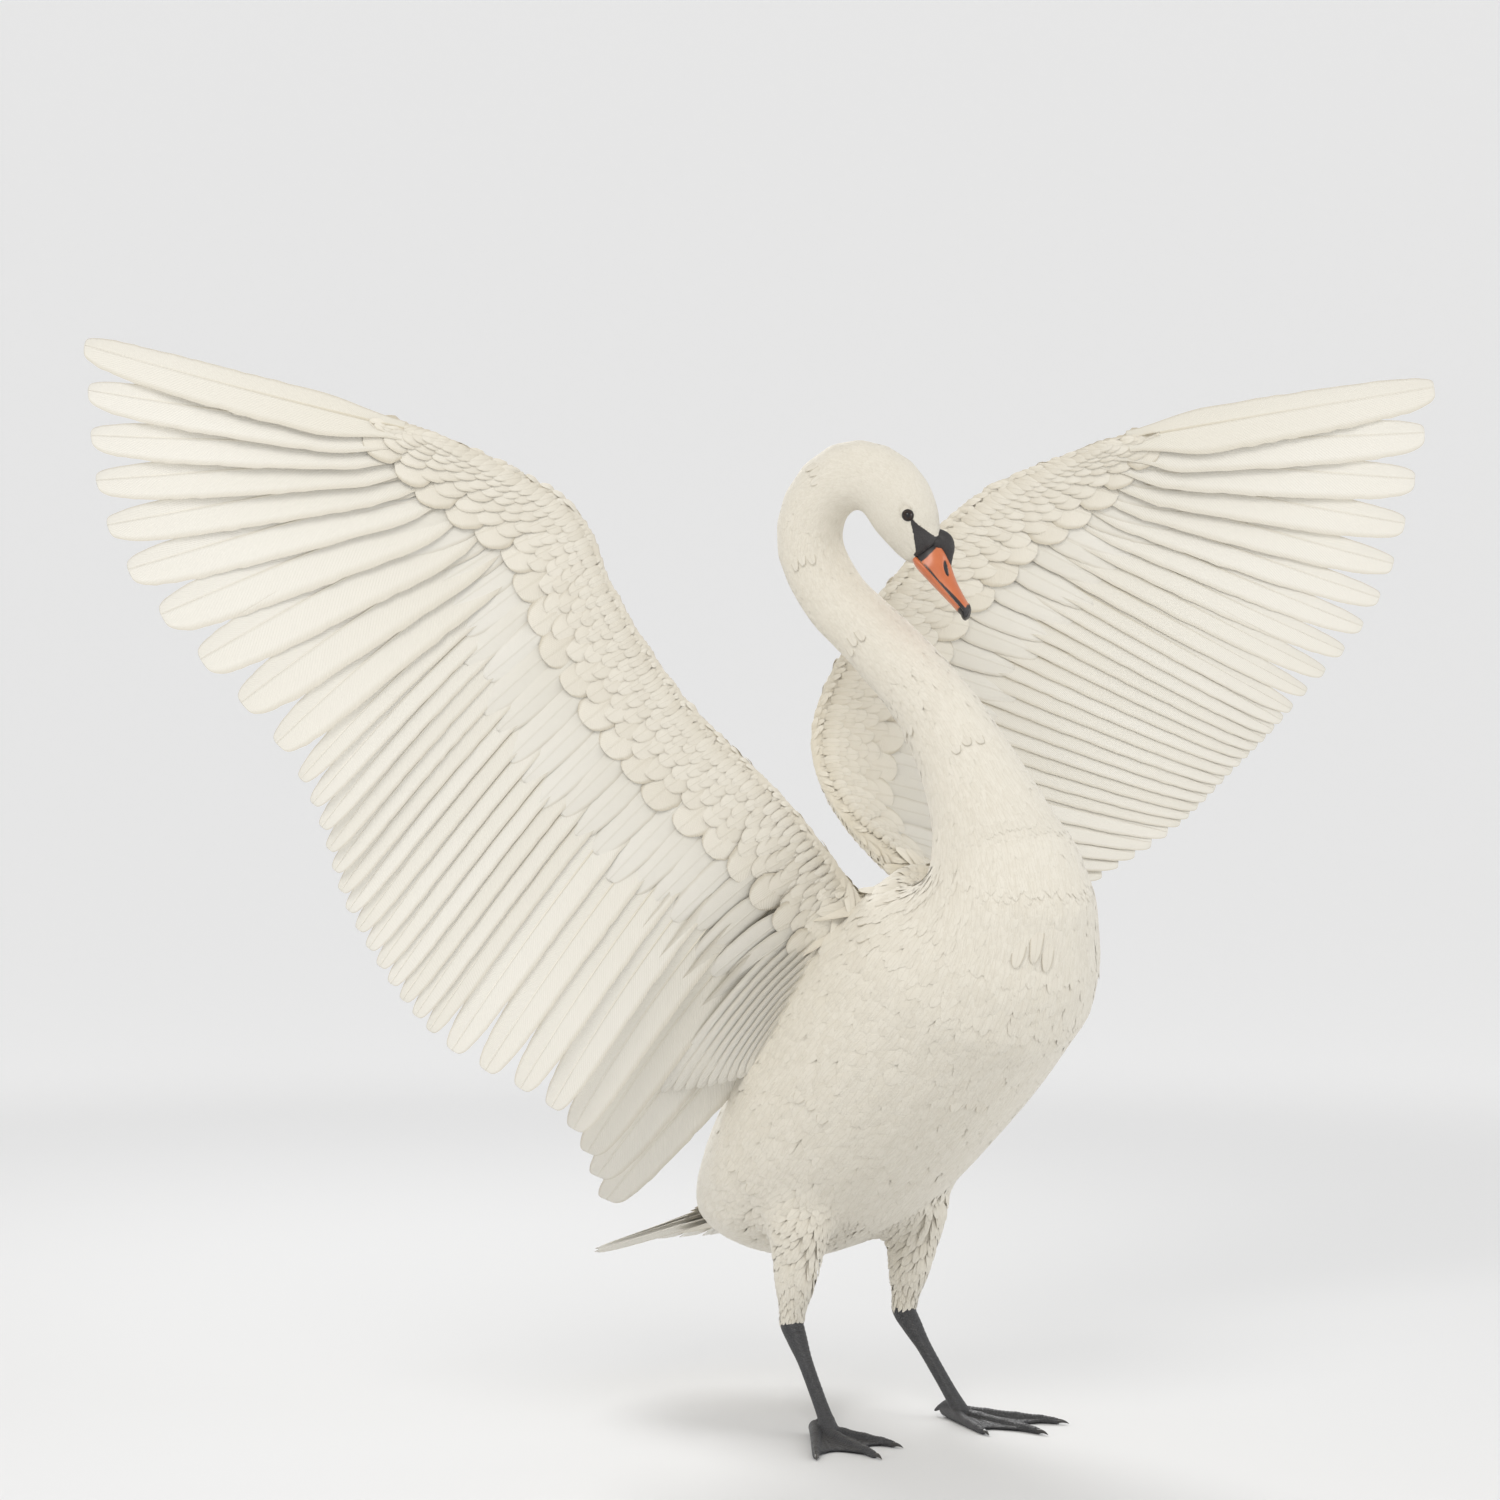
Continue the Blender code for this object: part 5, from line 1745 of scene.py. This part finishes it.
def bill_half(name, upper, sides=72, count=140):
    first = BILL_STATIONS[0, 0]
    shares = first + (1 - first) * (1 - (1 - np.linspace(0, 1, count)) ** 1.5)
    sizes = smooth(BILL_STATIONS[:, 0], BILL_STATIONS[:, 1:], shares)
    turns = np.linspace(0, pi, sides)
    rings = []
    black = []
    for share, (width, height, deep) in zip(shares, sizes):
        tall = height if upper else -deep
        left = width * np.cos(turns)
        up = tall * np.sin(turns) ** 0.92
        lip = np.exp(-(np.sin(turns) / 0.10) ** 2)
        left = left * (1 + 0.035 * lip * (1 if upper else -1.2))
        left = left * (1 - 0.24 * rise_between(0.24, -0.04, share) * (1 - np.sin(turns)) ** 2)
        aside = (turns - pi / 2)
        from_nostril = ((share - NOSTRIL_AT) / NOSTRIL_LONG) ** 2
        beside = np.abs(aside) - NOSTRIL_TURN - 1.2 * (share - NOSTRIL_AT)
        slot = np.exp(-(from_nostril + (beside / NOSTRIL_TALL) ** 2) ** 2)
        nail = rise_between(1.0, 0.72, ((share - NAIL_AT) / NAIL_LONG) ** 2
                            + (left / NAIL_WIDE) ** 2)
        ridge = np.exp(-(aside / 0.55) ** 2) * (1 - rise_between(0.25, 0.6, share))
        if upper:
            push = 0.0009 * nail + 0.0009 * ridge - 0.0024 * slot
            push = np.where(np.sin(turns) > 0.02, push, 0)
            left = left + push * np.cos(turns)
            up = up + push * np.sin(turns)
        hook = HOOK * rise_between(0.90, 1.0, share)
        start = HALF_GAP if upper else -HALF_GAP
        sole = np.linspace(1, -1, 14)[1:-1] * width * (1.0 if upper else 0.96)
        ring_left = np.concatenate([left, -sole])
        ring_up = np.concatenate([up + start, np.full(len(sole), start)]) - hook
        rings.append(from_face(np.full(len(ring_left), share * BILL_LENGTH), ring_left,
                               ring_up - GAPE_DROP - GAPE_SLOPE * (1 - share)))
        marks = np.full(sides, float(rise_between(0.85, 0.87, share)))
        if upper:
            rim = 0.0016 + 0.0022 * rise_between(0.35, 0.80, share)
            edge = rise_between(rim + 0.0003, rim - 0.0003, up) * rise_between(0.10, 0.16, share)
            around = np.exp(-(from_nostril + (beside / NOSTRIL_TALL) ** 2) ** 2 * 0.8)
            strip = rise_between(0.055, 0.045, share + 0.03 * np.cos(aside * 2))
            tip = rise_between(0.885, 0.900, share + 0.012 * np.cos(turns * 6))
            marks = np.maximum.reduce([edge, rise_between(0.45, 0.55, nail), tip,
                                       rise_between(0.42, 0.52, around), strip])
        black.append(np.concatenate([marks, np.ones(len(sole))]))
    mesh = loft(name, rings)
    store(mesh, "black_face", "FLOAT", np.concatenate(black))
    mesh.materials.append(BILL)
    return mesh


piece("bill_top", bill_half("bill_top", True), "bill_orange", "bill_upper")
piece("bill_bottom", bill_half("bill_bottom", False, 48, 90), "bill_orange", "bill_lower")

# %% [markdown]
# The knob over the bill is soft flesh, largest in an adult male in spring. One ball would sit on
# the bill like a bead. So a round body is carried along a bent line: it grows out of the forehead,
# hangs a little forward and runs down on to the ridge of the bill.

# %% Knob
# A round body along a bent line: place ahead of the face, height over its middle, radius.
KNOB_LINE = ((-0.013, 0.0150, 0.0070), (-0.006, 0.0184, 0.0096), (0.002, 0.0198, 0.0108),
             (0.010, 0.0175, 0.0094), (0.018, 0.0128, 0.0062), (0.026, 0.0082, 0.0030))


def knob_mesh():
    work = bmesh.new()
    add_limb(work, [(from_face(ahead, 0.0, up), radius) for ahead, up, radius in KNOB_LINE],
             FACE_UP, 32, 48)
    for left in (-0.0055, 0.0055):
        add_ball(work, from_face(0.0, left, 0.0130), 0.0082)
    mesh = remeshed(mesh_from(work), 0.0007)
    points = relaxed(mesh, points_of(mesh), 12, (0.5,))
    ahead, left, up = in_face(points)
    folds = np.sin(ahead * 1400 + 2 * np.sin(left * 500))
    folds = folds * rise_between(0.012, 0.020, ahead + 0.3 * up)
    set_points(mesh, points + normals_of(mesh) * (0.00008 * folds)[:, None])
    mesh.name = "knob"
    return finished(mesh, KNOB_SKIN)


piece("knob", knob_mesh(), "black_skin", "bill_knob")

# %% [markdown]
# ## Eyes and lids
#
# A swan's eye is dark brown with a round pupil and a clear cornea that stands a little proud. The
# lids are narrow rims of black skin with an almond opening, so only the middle of the ball shows.

# %% Eyeballs with a cornea, and lids round them
def eye_axes(side):
    out = FACE_LEFT if side == "left" else -FACE_LEFT
    look = unit(out + 0.16 * FACE_AHEAD + 0.05 * FACE_UP)
    ahead = unit(FACE_AHEAD - look * (FACE_AHEAD @ look))
    return look, ahead, np.cross(look, ahead)


def on_ball(centre, axes, polar, turn, radius):
    look, ahead, third = axes
    return (centre + np.multiply.outer(radius * np.cos(polar), look)
            + np.multiply.outer(radius * np.sin(polar) * np.cos(turn), ahead)
            + np.multiply.outer(radius * np.sin(polar) * np.sin(turn), third))


def eyeball(side):
    centre, axes = EYES[side], eye_axes(side)
    turn = circle(48)
    rings = []
    ring_marks = []
    for polar in np.linspace(0.01, pi - 0.01, 48):
        radius = EYE_RADIUS * (1 + 0.05 * exp(-(polar / 0.5) ** 2))
        rings.append(on_ball(centre, axes, np.full(48, polar), turn, radius))
        ring_marks.append(np.full(48, float(rise_between(0.36, 0.42, polar))))
    mesh = loft("eyeball_" + side, rings)
    store(mesh, "iris", "FLOAT", np.concatenate(ring_marks))
    mesh.materials.append(EYE)
    return mesh


# Half the opening of the lids and their outer edge, as turns about the middle of the ball.
LID_WIDE, LID_TALL, LID_EDGE = radians(68), radians(54), radians(82)
ALMOND = 1.7                 # 2 would make the opening an ellipse, 1 a diamond


def lids(side):
    centre, axes = EYES[side], eye_axes(side)
    turn = circle(96)
    opening = ((np.abs(np.cos(turn)) / LID_WIDE) ** ALMOND
               + (np.abs(np.sin(turn)) / LID_TALL) ** ALMOND) ** (-1 / ALMOND)
    # Share of the way from the opening to the outer edge, and height over the ball.
    section = ((0.0, -0.0006), (0.0, 0.00025), (0.06, 0.0006), (0.20, 0.0008), (0.34, 0.00055),
               (0.46, 0.0008), (0.62, 0.0006), (0.80, 0.0004), (1.0, -0.0002), (1.0, -0.0016))
    rings = []
    for share, height in section:
        polar = opening + (LID_EDGE - opening) * share
        rings.append(on_ball(centre, axes, polar, turn, EYE_RADIUS + height))
    mesh = loft("lids_" + side, rings)
    work = bmesh.new()
    work.from_mesh(mesh)
    work.faces.ensure_lookup_table()
    caps = [face for face in work.faces if len(face.verts) > 4]
    bmesh.ops.delete(work, geom=caps, context="FACES")
    work.verts.ensure_lookup_table()
    ends = np.arange(len(work.verts)).reshape(len(section), -1)[[-1, 0]]
    for first, second in zip(ends.T, np.roll(ends, -1, axis=1).T):
        work.faces.new([work.verts[i] for i in (first[0], second[0], second[1], first[1])])
    bmesh.ops.recalc_face_normals(work, faces=work.faces)
    work.to_mesh(mesh)
    work.free()
    return finished(mesh, KNOB_SKIN)


for side in EYES:
    piece("eyeball_" + side, eyeball(side), "eye", "eye_" + side)
    piece("lids_" + side, lids(side), "black_skin")

# %% [markdown]
# ## Legs and feet
#
# A swan's foot has three long toes with a web between them and a small hind toe that stays off the
# ground. Round limbs for the shank and toes, and a thin sheet for each web, are joined by a fine
# remesh, so they run into each other as skin does. Joint pads, scales and web creases are then
# raised by moving points.

# %% Toes and webs
TOES = ((radians(-27.0), 0.135), (0.0, 0.145), (radians(25.0), 0.112))   # turn, length
FOOT_TURN = radians(9.0)
PAD_SHARES = (0.36, 0.62, 0.84)
# Share of a toe's length, and the radius there.
TOE_SIZES = ((0.0, 0.0085), (0.18, 0.0072), (0.40, 0.0062), (0.70, 0.0052), (0.93, 0.0043),
             (0.985, 0.0036))
WEB_HALF = 0.0014            # half the thickness of a web


def on_foot(side, angle, reach, height):
    """A point of the foot. The outer toe, at a negative angle, is away from the body."""
    turned = side * (FOOT_TURN - np.asarray(angle, float))
    out = np.broadcast_arrays(np.sin(turned) * reach, -np.cos(turned) * reach, height)
    return leg_point(side, HEEL) + np.stack(out, -1)


def add_web(work, side, first, second, across=14, along=22):
    """A closed thin sheet between two toes, with a hollow outer edge."""
    share = np.linspace(0.0, 1.0, across)[:, None]
    out = np.linspace(0.10, 1.0, along)[None, :]
    angle = first[0] + (second[0] - first[0]) * share
    edge = first[1] + (second[1] - first[1]) * share
    edge = edge * (0.95 - 0.24 * np.sin(pi * share) ** 0.8)
    sag = 0.0012 * np.sin(pi * share) * out
    middle = 0.0042 + 0.0085 * (1 - out) ** 2 - sag
    sheets = [on_foot(side, angle, edge * out, middle + half) for half in (WEB_HALF, -WEB_HALF)]
    top, sole = ([[work.verts.new(point) for point in line] for line in sheet] for sheet in sheets)
    for i in range(across - 1):
        for j in range(along - 1):
            work.faces.new((top[i][j], top[i + 1][j], top[i + 1][j + 1], top[i][j + 1]))
            work.faces.new((sole[i][j], sole[i][j + 1], sole[i + 1][j + 1], sole[i + 1][j]))
    rim = ([(i, 0) for i in range(across)] + [(across - 1, j) for j in range(1, along)]
           + [(i, along - 1) for i in range(across - 2, -1, -1)]
           + [(0, j) for j in range(along - 2, 0, -1)])
    for (i, j), (k, m) in zip(rim, rim[1:] + rim[:1]):
        work.faces.new((top[i][j], sole[i][j], sole[k][m], top[k][m]))


print("web of one foot: %d toes, longest %.0f mm" % (len(TOES), TOES[1][1] * 1000))

# %% One skin for shank, toes and webs
# Share of the shank from the ankle down, and the radius there.
SHANK_SIZES = ((0.16, 0.0118), (0.36, 0.0088), (0.62, 0.0082), (0.84, 0.0086), (1.0, 0.0104))
# Place behind the heel, height and radius of the hind toe.
HIND_TOE = ((-0.016, 0.021, 0.0056), (0.0, 0.018, 0.0044), (0.014, 0.011, 0.0032),
            (0.022, 0.0065, 0.0018))
RING_STEP, SCUTE_STEP = 0.0046, 0.0052      # from one scale to the next on a toe and the shank


def leg_mesh(side):
    work = bmesh.new()
    ankle, foot = leg_point(side, ANKLE), leg_point(side, HEEL + INSTEP)
    up, down = unit(leg_point(side, KNEE) - ankle), foot - ankle
    shin = [(ankle + up * rise, size) for rise, size in
            ((0.055, 0.0085), (0.020, 0.0115), (0.002, 0.0138))]
    shank = [(ankle + down * share, size) for share, size in SHANK_SIZES]
    add_limb(work, shin + shank, (0.0, 1.0, 0.0), count=48)
    for angle, long in TOES:
        add_limb(work, [(on_foot(side, angle, long * share, size + 0.0010 * (1 - share)), size)
                        for share, size in TOE_SIZES])
    for first, second in zip(TOES, TOES[1:]):
        add_web(work, side, first, second)
    hind = leg_point(side, HEEL + (-0.004, -0.006, 0.0))
    add_limb(work, [(hind + (0.0, behind, rise), size) for behind, rise, size in HIND_TOE])
    bmesh.ops.recalc_face_normals(work, faces=work.faces)
    mesh = remeshed(mesh_from(work), 0.00115)
    points = relaxed(mesh, points_of(mesh), 5)
    normals = normals_of(mesh)
    away = points[:, :2] - leg_point(side, HEEL)[:2]
    reach = np.linalg.norm(away, axis=1)
    angle = FOOT_TURN - side * np.arctan2(away[:, 0], -away[:, 1])
    upper = rise_between(0.2, 0.6, normals[:, 2]) * rise_between(0.035, 0.022, points[:, 2])
    push = np.zeros(len(points))
    on_toe = np.zeros(len(points))
    for toe, long in TOES:
        aside = np.abs(np.sin(angle - toe)) * reach
        close = rise_between(0.0090, 0.0045, aside) * rise_between(0.018, 0.030, reach)
        on_toe = np.maximum(on_toe, close)
        push -= 0.00035 * close * np.abs(np.sin(reach * pi / RING_STEP)) ** 8
        for pad in PAD_SHARES:
            push += 0.0007 * close * np.exp(-((reach - pad * long) / 0.006) ** 2)
    web = (1 - on_toe) * rise_between(0.03, 0.05, reach)
    creases = 0.0002 * np.sin(reach * 900 + 3 * np.sin(angle * 9))
    push += web * (0.00030 * np.sin(angle * 75) + creases)
    shank = rise_between(0.030, 0.045, points[:, 2])
    front = rise_between(0.1, 0.6, -normals[:, 1])
    scutes = np.abs(np.sin(points[:, 2] * pi / SCUTE_STEP)) ** 8
    push = push * upper - shank * front * 0.00035 * scutes
    points = points + normals * push[:, None]
    points[:, 2] = np.maximum(points[:, 2], 0.0001)
    set_points(mesh, points)
    return finished(mesh, LEG_SKIN)


print("scales %.1f mm apart on the toes" % (RING_STEP * 1000))

# %% [markdown]
# A claw is a short curved horn with a blunt tip. Each one is lofted where its CAD node stands, and
# its root is buried in the end of the toe. The claws of one foot are one piece.

# %% Claws
CLAW_SIZE, CLAW_LENGTH = 0.0031, 0.0150


def claw_mesh(label, side):
    """All the claws of one foot: a curved horn at the end of each toe, closed at both ends."""
    whole = bmesh.new()
    for number in (1, 2, 3):
        low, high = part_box("claw_%s_%d" % (label, number))
        middle = np.array((low + high) / 2)
        turn = side * (FOOT_TURN - TOES[number - 1][0])
        way = np.array((sin(turn), -cos(turn), 0.0))
        across = np.array((way[1], -way[0], 0.0))
        rings = []
        for share in np.linspace(0, 1, 14):
            size = CLAW_SIZE * (1 - share) ** 0.75 + 0.0002
            centre = middle + way * (-0.0085 + CLAW_LENGTH * share)
            centre[2] = 0.0036 + 0.0014 * sin(share * 2.2) - 0.0030 * share ** 2
            spin = circle(14)
            rings.append(centre + np.multiply.outer(np.cos(spin) * size, across)
                         + np.multiply.outer(np.sin(spin) * size * 0.9, (0, 0, 1)))
        whole.from_mesh(loft("claw", rings))
    return finished(mesh_from(whole, "claws_" + label), CLAW)


for label, side in LEG_SIDES.items():
    piece("leg_" + label, leg_mesh(side), "leg_skin", "leg_%s_tarsus" % label, "foot_" + label)
    piece("claws_" + label, claw_mesh(label, side), "claw",
          *["claw_%s_%d" % (label, number) for number in (1, 2, 3)])

# %% [markdown]
# ## The studio
#
# The pale floor curves up far away all round, so no edge shows from any side. Far from the bird it
# glows a little, because the lamps don't reach there. It is no part of the bird.

# %% Floor and backdrop in one bowl
def studio_bowl(radius=9.0, rim=24.0, height=11.0, count=40, sides=96):
    rings = []
    turn = circle(sides)
    for share in np.linspace(0, 1, count):
        out = 0.01 + (rim - 0.01) * share
        rise = height * (1 - sqrt(max(1 - (max(out - radius, 0) / (rim - radius)) ** 2, 0)))
        rings.append(np.stack([out * np.cos(turn), out * np.sin(turn), 0 * turn + rise], axis=1))
    order = np.arange(count * sides).reshape(count, sides)
    ahead = np.roll(order, -1, axis=1)
    faces = np.stack([order[:-1], order[1:], ahead[1:], ahead[:-1]], axis=-1)
    faces = faces.reshape(-1, 4).tolist() + [order[0].tolist()]
    mesh = bpy.data.meshes.new("studio_floor")
    mesh.from_pydata(np.concatenate(rings).tolist(), [], faces)
    mesh.shade_smooth()
    finish, tree, shader = new_finish("pale floor", 0.9)
    far = vectors("LENGTH", object_place(tree))
    glow = ramp(far, 0.8, 5.0, 0.0, 0.28, SOFT)
    feed(shader, Base_Color=(0.74, 0.74, 0.74, 1.0), Emission_Color=(1.0, 1.0, 1.0, 1.0),
         Emission_Strength=glow)
    finish.cycles.emission_sampling = "NONE"      # too faint to be sampled as a lamp
    mesh.materials.append(finish)
    return placed("studio_floor", mesh)


studio_bowl()
print("floor %.0f m across" % (2 * 24.0))

# %% [markdown]
# White plumage needs soft light, or its feathers vanish. A broad light high on the left models the
# body, a weaker one fills from the right, and a narrow one from behind edges the wings. A pale sky
# keeps the shadows open.

# %% Lights
def area_light(name, place, target, size, power, colour, spread=pi):
    light = bpy.data.lights.new(name, "AREA")
    light.spread = spread
    light.shape = "DISK"
    light.size = size
    light.energy = power
    light.color = colour
    lamp = placed(name, light)
    lamp.location = place
    lamp.rotation_euler = (Vector(target) - Vector(place)).to_track_quat("-Z", "Y").to_euler()


area_light("key", (-3.6, -3.0, 4.2), (0, 0, 0.7), 2.6, 114, (1.0, 0.985, 0.96))
area_light("fill", (3.2, -3.6, 2.0), (0, 0, 0.7), 3.0, 40, (0.96, 0.98, 1.0))
area_light("rim", (1.5, 4.2, 3.4), (0, 0, 0.8), 2.4, 26, (1.0, 1.0, 1.0), radians(70))
sky = bpy.data.worlds.new("studio sky")
sky.use_nodes = True
sky.node_tree.nodes["Background"].inputs[0].default_value = (1.0, 1.0, 1.0, 1.0)
sky.node_tree.nodes["Background"].inputs[1].default_value = 0.62
bpy.context.scene.world = sky
bpy.context.scene.view_settings.view_transform = "Standard"

# %% [markdown]
# The camera stands level with the breast, to the bird's right of straight ahead. From 4 m away the
# near wing isn't blown up against the far one. Its lens follows from how much it sees at the bird.

# %% Camera
CAMERA_TURN = radians(-35.0)
CAMERA_AWAY = 4.0
VIEW_WIDTH = 1.725           # metres across at the bird
SENSOR = 36.0
SIDEWAYS, EYE_HEIGHT = -0.1725, 0.783
right_way = np.array((cos(CAMERA_TURN), sin(CAMERA_TURN), 0.0))
toward_camera = np.array((sin(CAMERA_TURN), -cos(CAMERA_TURN), 0.0))
lens = bpy.data.cameras.new("camera")
lens.sensor_width = SENSOR
lens.lens = SENSOR * CAMERA_AWAY / VIEW_WIDTH
camera = placed("camera", lens)
camera.location = (right_way * SIDEWAYS + toward_camera * CAMERA_AWAY
                   + np.array((0.0, 0.0, EYE_HEIGHT)) + SHIFT)
camera.rotation_euler = (pi / 2, 0.0, CAMERA_TURN)
bpy.context.scene.camera = camera
print("camera at", rounded(camera.location), "lens %.1f mm" % lens.lens)
